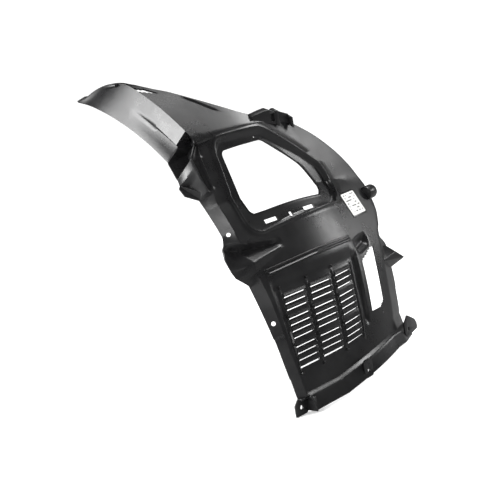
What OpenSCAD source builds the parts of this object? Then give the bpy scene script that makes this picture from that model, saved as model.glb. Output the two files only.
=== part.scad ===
// Front right wheel arch liner, front section: one moulded shell and a paper label.
// +X points forward, +Y inboard and +Z up. The origin is the screw hole of
// the outboard tab at the bottom edge. Lengths are in millimetres.

/* [Arch] */
// Radius of the lip at the crown of the arch
crown_radius = 460; // [430:1:500]
// Radius of the lip along the front of the arch
front_radius = 924; // [800:1:1100]
// Lean of the lip below horizontal at the start of the crown, degrees
crown_lean = 19.7; // [15:0.1:25]
// Length of lip bent to the crown radius
crown_length = 324; // [280:1:360]
// Lip length ahead of the start, where the pointed tip ends
tip_start = -16; // [-30:1:0]
// Lip length from the start down to the bottom edge
arch_length = 612; // [600:1:630]

/* [Section] */
// Thickness of the moulded wall
wall = 2.5; // [2:0.1:3.5]
// Height of the roof outside the lip
roof_rise = 54; // [40:1:60]
// Height of the front panel outside the lip
panel_rise = 13; // [8:1:18]
// Inboard lean of the side wall between the lip and the roof
side_lean = 14; // [8:1:18]
// Where the roof starts to drop to the front panel
drop_start = 195; // [185:1:205]
// Length of that drop
drop_length = 95; // [80:1:110]
// Distance inboard where the panel starts to bend rearward
bend_start = 110; // [90:1:130]
// Radius of the rearward bend
bend_radius = 480; // [400:1:600]
// Rearward slope beyond the bend
bend_slope = 0.3; // [0.2:0.01:0.4]
// Radius of the inboard corner
corner_radius = 34; // [20:1:50]
// Width of the barrel's inboard wall beyond the corner
inboard_wall = 30; // [15:1:50]
// Width of the front panel's inboard flange beyond the corner
inboard_flange = 56; // [40:1:70]

/* [Window] */
// Depth of the frame floor below the panel
frame_depth = 7; // [4:0.5:10]
// Height of the bead around the frame
bead_height = 2; // [1:0.5:4]

/* [Louvres] */
// Number of slots in each group, from the top
groups = [3, 4, 4];
// Distance between slots in one group
slot_pitch = 9.15; // [8:0.05:10]
// Extra distance between groups
group_gap = 3.2; // [0:0.1:8]
// Height of one slot
slot_height = 2.4; // [1.6:0.1:4]
// Height of the lower edge of each slat above the slot below it
slat_rise = 3; // [1:0.5:5]
// Depth of the louvre field below the panel
field_depth = 4; // [2:0.5:6]

/* [Fixings] */
// Diameter of the screw holes
screw_hole = 6.5; // [5:0.1:8]
// Width of a bottom tab
tab_width = 20; // [16:1:26]
// Thickness of a bottom tab
tab_wall = 3; // [2.5:0.1:4]
// Outside diameter of the stub tube on the inboard corner
stub_diameter = 24; // [18:1:30]

/* [Label] */
// Width and height of the paper label
label_size = [57, 41]; // [30:1:60]
// Turn of the label in its own plane, degrees
label_turn = 6; // [-15:1:15]
// Height of the flat pad under the label
pad_height = 0.4; // [0.2:0.1:1]
// Margin of that pad around the label
pad_margin = 3; // [1:0.5:6]
// Thickness of the paper
paper = 0.3; // [0.2:0.05:0.5]

/* [Hidden] */
deg = 180 / PI;

// stations along the lip
bottom_ridge = arch_length - 20;
field_top = 426;
field_bottom = 566;
slot_start = 451;
block_top = 200;
block_bottom = 362;
notch_top = 197;
notch_floor = 206;
notch_end = 247;

// stations across
corner_v = 335;
block_left = 24;
block_right = 310;
field_left = 30;
field_right = 226;
side_left = 256;
side_tip = 297;
columns = [[44.6, 91.9], [104.1, 154.4], [168.2, 212.7]];

// inboard edge of the roof and the barrel, lip length against distance inboard
edge = [[tip_start, 20], [70, 22], [81, 30], [95, 44], [107, 60], [129, 82], [156, 112],
    [172, 132], [181, 146], [188, 162], [197, 205], [204, 244], [218, 303], [244, 360], [272, 400],
    [299, 417], [316, 417], [351, 409], [375, 397], [404, 378], [431, 358]];

function clamp(t) = min(1, max(0, t));
function ease(t) = let (u = clamp(t)) u * u * (3 - 2 * u);
function mix(a, b, t) = a + (b - a) * t;
function tent(t, a, m, b) = t < m ? clamp((t - a) / (m - a)) : clamp((b - t) / (b - m));
function ramp(t, a, b) = clamp((t - a) / (b - a));
function flat(t, a, b, c, d) = min(ramp(t, a, b), 1 - ramp(t, c, d));

// profile of the arch: a point h outside the lip at the lip length s
function lean(s) = s < crown_length ? crown_lean + deg * s / crown_radius
    : crown_lean + deg * (crown_length / crown_radius + (s - crown_length) / front_radius);
function out(s) = [sin(lean(s)), 0, cos(lean(s))];
join_lean = lean(crown_length);
function lip(s) = s < crown_length
    ? crown_radius * [sin(lean(s)), 0, cos(lean(s))]
    : (crown_radius - front_radius) * [sin(join_lean), 0, cos(join_lean)]
        + front_radius * [sin(lean(s)), 0, cos(lean(s))];

// outward level of the roof and panel
function level(s) = s < 80
    ? max(5, roof_rise * (1 - pow((80 - s) / 96, 1.7)))
    : mix(roof_rise, panel_rise, ease((s - drop_start) / drop_length));
function bend(y) = let (f = bend_start + bend_radius * bend_slope)
    y < bend_start ? 0
    : y < f ? -pow(y - bend_start, 2) / (2 * bend_radius)
    : -pow(f - bend_start, 2) / (2 * bend_radius) - bend_slope * (y - f);

// the strip along the lip narrows on the way down
function foot(s) = 1 - 0.4 * ease((s - 430) / 110);

// columns of the louvre field lean outboard on the way down
function skew(s, v) = (24 + 0.1 * v) * (min(s, field_bottom - 12) - slot_start) / 98 * ease((s - 385) / 45)
    * ramp(v, side_lean, columns[0][0]);
function edge_y(s) = s < 400 ? lookup(s, edge)
    : mix(lookup(s, edge), corner_v - skew(s, corner_v), ease((s - 400) / 50));
function across(s, v) = v <= side_lean ? v * foot(s)
    : let (e = edge_y(s), k = side_lean * (1 - foot(s)),
        a = side_lean + (v - side_lean) * (e - side_lean) / (corner_v - side_lean),
        b = v + max(0, v - 230) / (corner_v - 230) * (e + skew(s, corner_v) - corner_v)
            - skew(s, v) - k * (1 - ramp(v, side_lean, columns[0][0])))
    mix(a, b, ease((s - 188) / 20));

// slant of the lines along the arch: the rib and the bottom edge
function along(s, v) = s
    - 0.04 * (v - 30) * tent(s, 365, 412, 445)
    - 0.11 * max(0, min(v, 300) - 120) * ramp(s, 545, bottom_ridge);

// side wall: the band above the lip, with the notch below the roof's end
function notch(s) = s < notch_top || s > notch_end ? 0
    : s < notch_floor ? 28 * (s - notch_top) / (notch_floor - notch_top)
    : 28 * (notch_end - s) / (notch_end - notch_floor);
function side_y(s, v) = let (w = v / side_lean, m = flat(w, 0, 0.22, 0.55, 0.76))
    v + m * notch(s)
    + 5 * flat(w, 0, 0.46, 0.47, 0.53) * ramp(s, 95, 190) * (1 - ramp(s, 194, 198))
    - (1 - w) * (14 * flat(s, 249, 254, 263, 272) + 18 * flat(s, 350, 366, 392, 408));

// scoop below the window: its floor rises to a ridge and falls to the flange
function scoop(s, y) = let (
        k = clamp(1 - y / 92),
        a = 352 + 11 * ease(y / 22) + 0.1 * max(0, y - 22), r = 393 - 0.15 * y, b = 409 - 0.27 * y)
    k <= 0 ? 0 : (0.35 + 0.65 * k) * ramp(y, 92, 78) * (
        s < a || s > b ? 0
        : s < a + 9 ? -16 * (s - a) / 9
        : s < r ? mix(-16, 5, (s - a - 9) / (r - a - 9))
        : mix(5, 0, (s - r) / (b - r)));

function rib(s, v) = 3 * flat(s, 406.5, 409, 413, 415.5) * flat(v, 26, 30, 236, 240);
function field(s, v) = -field_depth * flat(s, field_top - 5, field_top, field_bottom, field_bottom + 6)
    * flat(v, field_left - 5, field_left, field_right, field_right + 6);
function groove(s, v) = -5 * flat(s, 420, 432, 540, 556) * flat(v, 226, 232, 238, 246);
function ridge(s, v) = (6 * ramp(s, bottom_ridge - 5, bottom_ridge - 1.5) + 0.22 * max(0, s - bottom_ridge))
    * ramp(v, side_lean, columns[0][0]);

// slats: each one leans out towards the slot below it
function group_of(r) = r < groups[0] ? 0 : r < groups[0] + groups[1] ? 1 : 2;
function slot_top(r) = slot_start + r * slot_pitch + group_of(r) * group_gap;
rows = groups[0] + groups[1] + groups[2];
function in_column(v) = max([for (c = columns) v > c[0] - 0.1 && v < c[1] + 0.1 ? 1 : 0]);
function at_slot(s) = max([for (r = [0 : rows - 1]) abs(s - slot_top(r)) < 0.1 ? 1 : 0]);
function in_slot(s) = max([for (r = [0 : rows - 1])
    s > slot_top(r) && s < slot_top(r) + slot_height ? 1 : 0]);

function features(s, v, y) = scoop(s, y) + rib(s, v) + field(s, v) + groove(s, v) + ridge(s, v)
    + (s > slot_start - 1 && at_slot(s) > 0 && in_column(v) > 0 ? slat_rise : 0);

// inboard corner and wall, turned from the panel's slope
start_turn = atan(bend_slope);
function end_turn(s) = mix(84, 29, ease((s - 385) / 50));
function past_corner(s) = mix(mix(4, inboard_wall, ramp(s, 180, 206)), inboard_flange, ease((s - 410) / 40));
function roll(s, t) = let (e = end_turn(s), q = corner_radius * (e - start_turn) / deg,
        f = ramp(s, 176, 200), d = t * mix(4, q + past_corner(s), f),
        a = start_turn + (e - start_turn) * clamp(d / q), w = max(0, d - q))
    [corner_radius * (sin(a) - sin(start_turn)) + w * cos(e),
     -corner_radius * (cos(start_turn) - cos(a)) - w * sin(e)];

// section at the lip length s: distance inboard and height outside the lip
function base(s, v) = v <= side_lean ? [across(s, v), level(s) * v / side_lean]
    : let (y = across(s, min(v, corner_v)), r = v > corner_v ? roll(s, v - corner_v) : [0, 0])
    [y + r[0], level(s) + bend(y) + r[1]];
function section(s, v) = let (b = base(s, v), k = clamp((v - side_lean) / 20))
    [b[0] + (v < side_lean ? side_y(s, v) - v : 0), b[1] + features(s, v, b[0])];

function place(s, p) = lip(s) + p[1] * out(s) + [0, p[0], 0];
function skin(s, v) = place(along(s, v), section(s, v));

// inward direction of the wall, from the lean of the section and its change along the arch
function bend_turn(y) = atan(min(bend_slope, max(0, y - bend_start) / bend_radius));
function turn_at(s, v) = let (w = -atan2(level(s), side_lean))
    v < side_lean - 0.01 ? w
    : v < side_lean + 0.01 ? w / 2
    : v <= corner_v ? bend_turn(across(s, v))
    : let (e = end_turn(s), q = corner_radius * (e - start_turn) / deg,
        d = (v - corner_v) * mix(4, q + past_corner(s), ramp(s, 176, 200)))
        start_turn + (e - start_turn) * clamp(d / q);
function inward(s, v) = let (
        a = turn_at(s, v), c = (base(s + 1, v) - base(s - 1, v)) / 2, u = [sin(a), cos(a)], k = c * u,
        n = out(s) * u[1] + [0, u[0], 0] - k * [cos(lean(s)), 0, -sin(lean(s))])
    -n / norm(n) * (abs(v - side_lean) < 0.01 ? 1 / max(0.77, cos(a)) : 1);

// lines of the grid
s_lines = concat(
    [tip_start, -4, 12, 30, 48, 66, 82, 98, 114, 130, 146, 162, 178, 188, 194],
    [notch_top, block_top, notch_floor, 214, 224, 236, notch_end, 254, 263, 272],
    [284, 298, 312, 326, 338, 350],
    [block_bottom, 368, 374, 380, 387, 393, 399, 406.5, 409, 413, 415.5],
    [field_top - 5, field_top, 432],
    [for (r = [0 : rows - 1]) each [slot_top(r), slot_top(r) + slot_height]],
    [field_bottom, field_bottom + 6, bottom_ridge - 5, bottom_ridge - 1.5, 602, arch_length]);
v_lines = concat(
    [for (w = [0, 0.22, 0.46, 0.53, 0.76, 1]) w * side_lean],
    [block_left, field_left, 36],
    [for (c = columns) each [c[0], (c[0] + c[1]) / 2, c[1]]],
    [field_right, 232, 238, side_left, 270, 284, side_tip, block_right, 322, corner_v],
    [for (t = [0.18, 0.36, 0.54, 1]) corner_v + t]);

ns = len(s_lines);
nv = len(v_lines);
function find(list, x) = [for (i = [0 : len(list) - 1]) if (abs(list[i] - x) < 0.01) i][0];
i0 = find(s_lines, block_top);
i1 = find(s_lines, block_bottom);
j0 = find(v_lines, block_left);
j1 = find(v_lines, block_right);

i_pocket = find(s_lines, bottom_ridge - 1.5);

function in_block(i, j) = i >= i0 && i < i1 && j >= j0 && j < j1;
function is_slot(i, j) = let (s = (s_lines[i] + s_lines[i + 1]) / 2, v = (v_lines[j] + v_lines[j + 1]) / 2)
    s > slot_start && in_slot(s) > 0 && in_column(v) > 0;
function solid(i, j) = i >= 0 && j >= 0 && i < ns - 1 && j < nv - 1 && !in_block(i, j) && !is_slot(i, j)
    && !in_side(i, j) && !(i >= i_pocket && j < j0);

// side window: it ends beside the slots of the second group, and its top is cut at a slant
rows_start = find(s_lines, slot_start);
margin_rows = [rows_start, rows_start + 2 * groups[0], rows_start + 2 * (groups[0] + groups[1]) + 1,
    rows_start + 2 * rows];
j_left = find(v_lines, side_left);
j_tip = find(v_lines, side_tip);
function in_side(i, j) = i >= rows_start - 1 && i < margin_rows[2]
    && j >= (i < rows_start ? j_tip : j_left) && j < j1;

// window: corners of the opening and of the frame, [lip length, distance inboard, radius]
opening = [[225, 62, 8], [221, 157, 24], [262, 243, 60], [300, 272, 16], [317, 252, 8], [322, 70, 10]];
frame = [[212, 46, 22], [210, 158, 40], [272, 316, 40], [336, 300, 34], [356, 42, 26]];

function rounded(c, steps) = [for (k = [0 : len(c) - 1]) let (
        p = [c[k][0], c[k][1]],
        u0 = [c[(k + len(c) - 1) % len(c)][0], c[(k + len(c) - 1) % len(c)][1]] - p,
        u1 = [c[(k + 1) % len(c)][0], c[(k + 1) % len(c)][1]] - p,
        a = u0 / norm(u0), b = u1 / norm(u1),
        half = acos(a * b) / 2, t = c[k][2] / tan(half), m = (a + b) / norm(a + b),
        o = p + m * c[k][2] / sin(half), from = p + a * t - o, to = p + b * t - o,
        g = atan2(from[1], from[0]), turn = atan2(to[1], to[0]) - g,
        full = turn > 180 ? turn - 360 : turn < -180 ? turn + 360 : turn)
    each [for (q = [0 : steps]) let (e = g + full * q / steps) o + c[k][2] * [cos(e), sin(e)]]];
function hit(path, o, d) = max([for (k = [0 : len(path) - 1]) let (
        a = path[k] - o, b = path[(k + 1) % len(path)] - o, e = b - a,
        den = d[0] * e[1] - d[1] * e[0],
        t = den == 0 ? -1 : (a[0] * e[1] - a[1] * e[0]) / den,
        u = den == 0 ? -1 : (a[0] * d[1] - a[1] * d[0]) / den)
    u >= -0.001 && u <= 1.001 ? t : -1]);

block_edge = concat(
    [for (j = [j0 : j1 - 1]) [i0, j]], [for (i = [i0 : i1 - 1]) [i, j1]],
    [for (j = [j1 : -1 : j0 + 1]) [i1, j]], [for (i = [i1 : -1 : i0 + 1]) [i, j0]]);
nb = len(block_edge);
centre = [276, 158];
opening_path = rounded(opening, 6);
frame_path = rounded(frame, 6);

// rings from the block's edge to the opening: [0 frame .. 1 opening, height above the panel]
rings = [[-0.16, 0], [-0.05, bead_height], [0.06, bead_height], [0.2, -frame_depth],
    [0.88, -frame_depth], [1, 1 - frame_depth]];
function ring_point(k, e) = let (
        p = [s_lines[e[0]], across(s_lines[e[0]], v_lines[e[1]])],
        d = p - centre,
        f = hit(frame_path, centre, d), w = hit(opening_path, centre, d),
        t = rings[k][0])
    centre + d * (t < 0 ? mix(f, 1, -t) : mix(f, w, t));
function panel_at(q, h) = place(q[0], [q[1], level(q[0]) + bend(q[1]) + h]);
function panel_inward(q) = let (
        n = cross(panel_at(q + [0, 2], 0) - panel_at(q - [0, 2], 0),
            panel_at(q + [2, 0], 0) - panel_at(q - [2, 0], 0)))
    n / norm(n);
ring_points = [for (k = [0 : len(rings) - 1]) for (e = block_edge) ring_point(k, e)];
ring_skin = [for (k = [0 : len(rings) - 1]) for (m = [0 : nb - 1])
    panel_at(ring_points[k * nb + m], rings[k][1])];
ring_back = [for (m = [0 : len(ring_points) - 1]) ring_skin[m] + wall * panel_inward(ring_points[m])];

outer = [for (s = s_lines) for (v = v_lines) skin(s, v)];
inner = [for (i = [0 : ns - 1]) for (j = [0 : nv - 1])
    outer[i * nv + j] + wall * inward(s_lines[i], v_lines[j])];
ng = ns * nv;

function quad(a, b, c, d) = [[a, b, c], [a, c, d]];
function id(i, j) = i * nv + j;
function side(p, q) = quad(q, p, p + ng, q + ng);
function fan(loop) = [for (k = [1 : len(loop) - 2]) [loop[0], loop[k], loop[k + 1]]];
function back_of(faces) = [for (f = faces) [f[2] + ng, f[1] + ng, f[0] + ng]];

// wide cells: the roof has few columns, and the margins of the louvre field few rows
roof_end = find(s_lines, 188);
roof_columns = concat([0, 1, 2, 3, 4, 5],
    [for (v = [columns[0][0], columns[1][0], columns[2][0], 238, corner_v, corner_v + 1]) find(v_lines, v)]);
left_end = find(v_lines, 36);
right_start = find(v_lines, field_right);
function in_margin(i, j) = i >= margin_rows[0] && i < margin_rows[3] && (j < left_end || j >= right_start);

roof_faces = [for (i = [0 : roof_end - 1]) for (c = [0 : len(roof_columns) - 2])
    let (a = roof_columns[c], b = roof_columns[c + 1], last = i == roof_end - 1,
        f = fan(concat([id(i, a), id(i, b)],
            [for (j = [b : -1 : a]) if (last || j == b || j == a) id(i + 1, j)])))
    each concat(f, back_of(f),
        i > 0 ? [] : side(id(i, a), id(i, b)),
        c > 0 ? [] : side(id(i + 1, a), id(i, a)),
        c < len(roof_columns) - 2 ? [] : side(id(i, b), id(i + 1, b)))];
function open_side(m, j) = m < 2 && j >= j_left && j < j1;
margin_faces = [for (m = [0 : 2]) for (j = [0 : nv - 2])
    if ((j < left_end || j >= right_start) && !open_side(m, j))
    let (a = margin_rows[m], b = margin_rows[m + 1],
        f = j == left_end - 1
            ? fan(concat([id(a, j)], [for (i = [a : b]) id(i, j + 1)], [id(b, j)]))
            : j == right_start
            ? fan(concat([id(a, j + 1), id(b, j + 1)], [for (i = [b : -1 : a]) id(i, j)]))
            : quad(id(a, j), id(a, j + 1), id(b, j + 1), id(b, j)))
    each concat(f, back_of(f),
        j > 0 && !open_side(m, j - 1) ? [] : side(id(b, j), id(a, j)),
        j < nv - 2 && !open_side(m, j + 1) ? [] : side(id(a, j + 1), id(b, j + 1)),
        m > 0 && open_side(m - 1, j) ? side(id(a, j), id(a, j + 1)) : [])];
slant = let (a = rows_start - 1, f = fan(concat([id(a + 1, j_left)], [for (j = [j_left : j_tip]) id(a, j)])))
    concat(f, back_of(f), side(id(a, j_tip), id(a + 1, j_left)));
function in_slant(i, j) = i == rows_start - 1 && j >= j_left && j < j_tip;
grid_faces = [for (i = [roof_end : ns - 2]) for (j = [0 : nv - 2])
    if (solid(i, j) && !in_margin(i, j) && !in_slant(i, j))
    let (f = quad(id(i, j), id(i, j + 1), id(i + 1, j + 1), id(i + 1, j)))
    each concat(f, back_of(f),
        solid(i - 1, j) || in_block(i - 1, j) ? [] : side(id(i, j), id(i, j + 1)),
        solid(i, j + 1) || in_block(i, j + 1) ? [] : side(id(i, j + 1), id(i + 1, j + 1)),
        solid(i + 1, j) || in_block(i + 1, j) ? [] : side(id(i + 1, j + 1), id(i + 1, j)),
        solid(i, j - 1) || in_block(i, j - 1) ? [] : side(id(i + 1, j), id(i, j)))];
r0 = 2 * ng;
nr = len(rings);
function on_ring(k, m, back) = k == 0
    ? id(block_edge[m % nb][0], block_edge[m % nb][1]) + (back ? ng : 0)
    : r0 + (k - 1) * nb + m % nb + (back ? nr * nb : 0);
function strip(a, b, c, d, m, near, far) =
    quad(on_ring(a, m, near), on_ring(b, m + 1, near), on_ring(c, m + 1, far), on_ring(d, m, far));
ring_faces = [for (k = [0 : nr - 1]) for (m = [0 : nb - 1]) each concat(
    strip(k, k, k + 1, k + 1, m, false, false), strip(k + 1, k + 1, k, k, m, true, true),
    k < nr - 1 ? [] : strip(nr, nr, nr, nr, m, false, true))];

// a plate over the given flat outline, as thick as the given step
module slab(points, step) {
    n = len(points);
    f = fan([for (k = [0 : n - 1]) k]);
    polyhedron(points = concat(points, [for (p = points) p + step]),
        faces = concat(f, [for (q = f) [q[2] + n, q[1] + n, q[0] + n]],
            [for (k = [0 : n - 1]) each quad((k + 1) % n, k, k + n, (k + 1) % n + n)]));
}
function at(s, y, h) = place(s, [y, h]);
function panel(s, y, h = 0) = at(s, y, level(s) + bend(y) + h);

// moves a child drawn in the plane of its face: x outward, y inboard, z up the arch
module mounted(p, turn, tilt = 0) {
    translate(p) rotate([0, -tilt, 0]) rotate([0, 0, turn]) children();
}
function tilt(s) = 90 - lean(s);

module shell() {
    polyhedron(points = concat(outer, inner, ring_skin, ring_back),
        faces = concat(roof_faces, margin_faces, slant, grid_faces, ring_faces), convexity = 10);
}

module bore(d, length) {
    translate([-length / 2, 0, 0]) rotate([0, 90, 0]) cylinder(h = length, d = d, $fn = 48);
}

heading = atan(bend_slope);
middle_turn = 4;
label_centre = panel(345, 336);
left_hole = at(603, 0.5, 4);
origin = left_hole - [tab_wall / 2, 0, 0];
middle_hole = at(597, 140, panel_rise + 10 + bend(140));
right_hole = at(577, 306, panel_rise + 8 + bend(306));
lip_holes = [338.8, 480];

// a tab: rounded plate with its face toward +X
module tab(w, up, down, r) {
    translate([-tab_wall, 0, 0]) rotate([90, 0, 90]) linear_extrude(tab_wall)
        polygon(concat([[-w / 2, up], [w / 2, up]],
            [for (a = [0 : 15 : 90]) [w / 2 - r + r * cos(a), -down + r - r * sin(a)]],
            [for (a = [90 : 15 : 180]) [-w / 2 + r + r * cos(a), -down + r - r * sin(a)]]));
}

// rounded slot cut through the floor of the window frame
module frame_slot(s, y, width, height) {
    mounted(panel(s, y, -frame_depth), atan(max(0, y - bend_start) / bend_radius), tilt(s) - 14)
        translate([-8, -width / 2, -height / 2]) cube([16, width, height]);
}

// stub tube on the inboard corner
stub_foot = panel(331, 396);
stub_start = 4;
stub_end = 30;
module stub_frame() {
    translate(stub_foot) rotate([0, 0, 12]) rotate([-90, 0, 0]) children();
}
module stub() {
    stub_frame() translate([0, 0, stub_start])
        cylinder(h = stub_end - stub_start, d = stub_diameter, $fn = 40);
}

// wing on the inboard flange: a plate folded along a raised ridge
module wing() {
    slab([at(458, 334, -35), at(431, 346, -39), at(432, 378, -50), at(449.5, 384, -41),
        at(465, 410, -49), at(473, 372, -58)], [-wall, -wall, 0]);
}

// short pegs between the louvre columns, above each group of slots: [lip length, foot height]
peg_size = [4.4, 5];
peg_rows = [[slot_start - 14, -4.4], [slot_top(groups[0]) - 3, -3.2],
    [slot_top(groups[0] + groups[1]) - 3, -3.2]];
peg_columns = [columns[0][0] - 5, (columns[0][1] + columns[1][0]) / 2, (columns[1][1] + columns[2][0]) / 2];
module pegs() {
    for (r = peg_rows) for (v = peg_columns) mounted(panel(r[0], across(r[0], v), r[1]), 0, tilt(r[0]))
        rotate([0, 90, 0]) cylinder(h = peg_size[1], d = peg_size[0], $fn = 12);
}

// solid through a row of four-cornered sections
module loft(sections) {
    n = len(sections);
    function at_ring(k, m) = 4 * k + m % 4;
    polyhedron(points = [for (q = sections) each q], faces = concat(
        quad(0, 1, 2, 3), quad(4 * n - 1, 4 * n - 2, 4 * n - 3, 4 * n - 4),
        [for (k = [0 : n - 2]) for (m = [0 : 3])
            each quad(at_ring(k, m), at_ring(k + 1, m), at_ring(k + 1, m + 1), at_ring(k, m + 1))]));
}

// clip bracket above the edge where the roof meets the barrel; [distance along, top, foot]
bracket_foot = panel(186, 158);
bracket_line = panel(206, 243) - bracket_foot;
bracket_turn = atan2(bracket_line[1], bracket_line[0]);
outer_lug = [[-5, 0, -3.5], [6, 1.6, -3.6], [18, 3.6, -7], [32, 5, -10.5], [47, -1, -14.5]];
inner_lug = [[51, 2, -15.8], [65, -6, -19.6], [82, -12, -25.6], [88, -20, -28.4]];
function lug_section(q, depth, fall) = [[q[0], 0, q[1]], [q[0], -depth, q[1] - fall],
    [q[0], -depth, q[2] - 0.9 * depth], [q[0], 0, q[2]]];
module lug(sections, depth, fall) {
    translate(bracket_foot) rotate([0, 0, bracket_turn])
        loft([for (q = sections) lug_section(q, depth, fall)]);
}
module bracket() {
    difference() {
        lug(outer_lug, 12, 4);
        translate(bracket_foot) rotate([0, 0, bracket_turn]) translate([34, -20, -18]) cube([9, 14, 12]);
    }
    lug(inner_lug, 3.5, 0.5);
    lug([[45, 1, -15], [51, 2, -15.8]], 13, 5);
    lug([[79, -11, -24.6], [84, -13, -26.4]], 11, 6);
}

// corner tab at the outboard end of the bottom edge: a plate at the back of an open pocket
pocket_top = 11;
pocket_side = 10.8;
module corner_tab() {
    translate([-tab_wall, 0, 0]) rotate([90, 0, 90]) linear_extrude(tab_wall)
        polygon([[-4, pocket_top + wall], [pocket_side + wall, pocket_top + wall], [pocket_side + wall, -8],
            [pocket_side, -11], [-tab_width / 2 - 2.5, -11], [-tab_width / 2 - 2.5, 5]]);
    translate([-tab_wall, -4, pocket_top]) cube([tab_wall + 6, pocket_side + 4, wall]);
    translate([0, pocket_side, 0]) rotate([90, 0, 0]) translate([0, 0, -wall]) linear_extrude(wall)
        polygon([[-tab_wall, pocket_top + wall], [6, pocket_top + wall], [10, -8], [-tab_wall, -8]]);
}

module liner() {
    color([0.05, 0.05, 0.055]) translate(-origin) difference() {
        union() {
            shell();
            stub();
            wing();
            bracket();
            pegs();
            translate(left_hole) corner_tab();
            mounted(middle_hole, middle_turn) tab(tab_width + 2, 17, 11, 4);
            mounted(right_hole, heading) translate([0, 14, 0]) tab(62, 9, 11, 3);
            label_seat() translate([-2, -pad_margin, -pad_margin])
                cube([2 + pad_height, label_size[0] + 2 * pad_margin, label_size[1] + 2 * pad_margin]);
        }
        mounted(left_hole, 0) bore(screw_hole, 20);
        mounted(middle_hole, middle_turn) bore(screw_hole, 20);
        mounted(right_hole, heading) bore(screw_hole, 20);
        for (s = lip_holes)
            mounted(at(s, side_lean * foot(s) / 2, level(s) / 2),
                    -atan2(level(s), side_lean * foot(s)), tilt(s))
                bore(screw_hole, 16);
        stub_frame() translate([0, 0, stub_start + 3])
            cylinder(h = 40, d = stub_diameter - 2 * wall, $fn = 40);
        mounted(panel(533, 254), heading, tilt(533)) bore(4, 20);
        mounted(panel(217.2, 144.7, -frame_depth), 3, tilt(217.2) - 20) bore(4, 20);
        frame_slot(338, 101, 28, 6);
        frame_slot(338.5, 148, 8, 7);
        frame_slot(335.5, 199, 32, 6);
    }
}

// label: thin paper on its flat pad
module label_seat() {
    mounted(label_centre, heading, tilt(345)) rotate([label_turn, 0, 0])
        translate([0, -label_size[0] / 2, -label_size[1] / 2]) children();
}
module label() {
    color([0.93, 0.93, 0.91]) translate(-origin) label_seat() translate([pad_height, 0, 0])
        cube([paper, label_size[0], label_size[1]]);
}

liner();
label();
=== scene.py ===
import math

import bpy
import bmesh
import numpy as np
from mathutils import Matrix, Vector


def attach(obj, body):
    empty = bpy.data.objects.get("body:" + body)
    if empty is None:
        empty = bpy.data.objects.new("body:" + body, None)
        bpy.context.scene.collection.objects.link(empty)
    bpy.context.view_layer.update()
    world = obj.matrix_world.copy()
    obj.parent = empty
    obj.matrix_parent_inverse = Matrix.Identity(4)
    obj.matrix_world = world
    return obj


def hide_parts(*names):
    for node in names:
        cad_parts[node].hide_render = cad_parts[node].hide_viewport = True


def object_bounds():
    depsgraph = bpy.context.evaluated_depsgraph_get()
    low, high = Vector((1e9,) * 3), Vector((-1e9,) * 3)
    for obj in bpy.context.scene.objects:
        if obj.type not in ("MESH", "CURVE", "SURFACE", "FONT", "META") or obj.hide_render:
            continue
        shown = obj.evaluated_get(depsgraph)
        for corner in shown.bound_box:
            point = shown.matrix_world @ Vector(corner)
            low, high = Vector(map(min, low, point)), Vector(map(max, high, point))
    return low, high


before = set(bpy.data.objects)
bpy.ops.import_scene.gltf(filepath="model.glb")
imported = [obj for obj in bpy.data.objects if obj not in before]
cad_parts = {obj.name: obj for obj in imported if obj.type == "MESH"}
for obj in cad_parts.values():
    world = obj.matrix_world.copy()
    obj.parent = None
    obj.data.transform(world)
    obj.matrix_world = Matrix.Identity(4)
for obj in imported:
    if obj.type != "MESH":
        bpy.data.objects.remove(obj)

cad_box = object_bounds()

MM = 0.001

# form of the arch, in millimetres: s is the length down the lip, v the column across the shell,
# y the distance inboard and h the height outside the lip
CROWN_RADIUS, FRONT_RADIUS = 460.0, 924.0
CROWN_LEAN, CROWN_LENGTH = 19.7, 324.0
TIP_START, ARCH_LENGTH = -15.97, 612.0
WALL, TAB_WALL = 2.5, 3.0
ROOF_RISE, PANEL_RISE = 53.7, 13.0
TIP_RISE, TIP_END, TIP_LENGTH, TIP_POWER = 5.0, 80.0, 96.0, 1.7
SIDE_LEAN = 14.0
DROP_START, DROP_LENGTH, DROP_SAG = 203.0, 89.0, 8.4
KNEE, KNEE_REACH = 6.0, (200.0, 290.0)
BEND_START, BEND_RADIUS, BEND_SLOPE = 110.0, 480.0, 0.3
START_TURN = math.atan(BEND_SLOPE)
HEADING = math.degrees(START_TURN)
CORNER_RADIUS, INBOARD_WALL, INBOARD_FLANGE, EDGE_STUB = 34.0, 30.0, 56.0, 4.0
FRAME_DEPTH, BEAD = 7.0, 2.0
SCREW_HOLE, SMALL_HOLE = 6.5, 4.0

# holes of the three bottom tabs: lip length, distance inboard and height before the shell's bend
OUTER_HOLE = (603.0, 0.5, 4.0)
MIDDLE_HOLE = (597.0, 140.0, PANEL_RISE + 10)
INNER_HOLE = (577.0, 306.0, PANEL_RISE + 8)

# louvre field, window block and side window
GROUPS = (3, 4, 4)
ROWS = sum(GROUPS)
SLOT_PITCH, GROUP_GAP, SLOT_HEIGHT, LAST_SLOT_EXTRA = 9.15, 3.2, 2.1, 1.2
SLAT_RISE, FIRST_SLAT, SLAT_LENGTH = 3.0, 6.0, 6.75
COLUMN_WALL, COLUMN_GAP = 2.2, 0.2
COLUMNS = ((44.6, 91.9), (104.1, 154.4), (168.2, 212.7))
BARS = (39.5, 98.0, 161.3, 218.5)
BAR_HALF, BAR_HEIGHT = 3.2, 1.6
FIELD_TOP, FIELD_BOTTOM, SLOT_START, FIELD_DEPTH = 426.0, 566.0, 451.0, 4.0
FIELD_LEFT, FIELD_RIGHT = 30.0, 226.0
FIELD_START, FIELD_FADE = (FIELD_TOP - 8, FIELD_TOP + 14), (466.0, 552.0)
FIELD_SIDES = (FIELD_LEFT - 6, FIELD_LEFT + 1, FIELD_RIGHT - 1, FIELD_RIGHT + 7)
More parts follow.
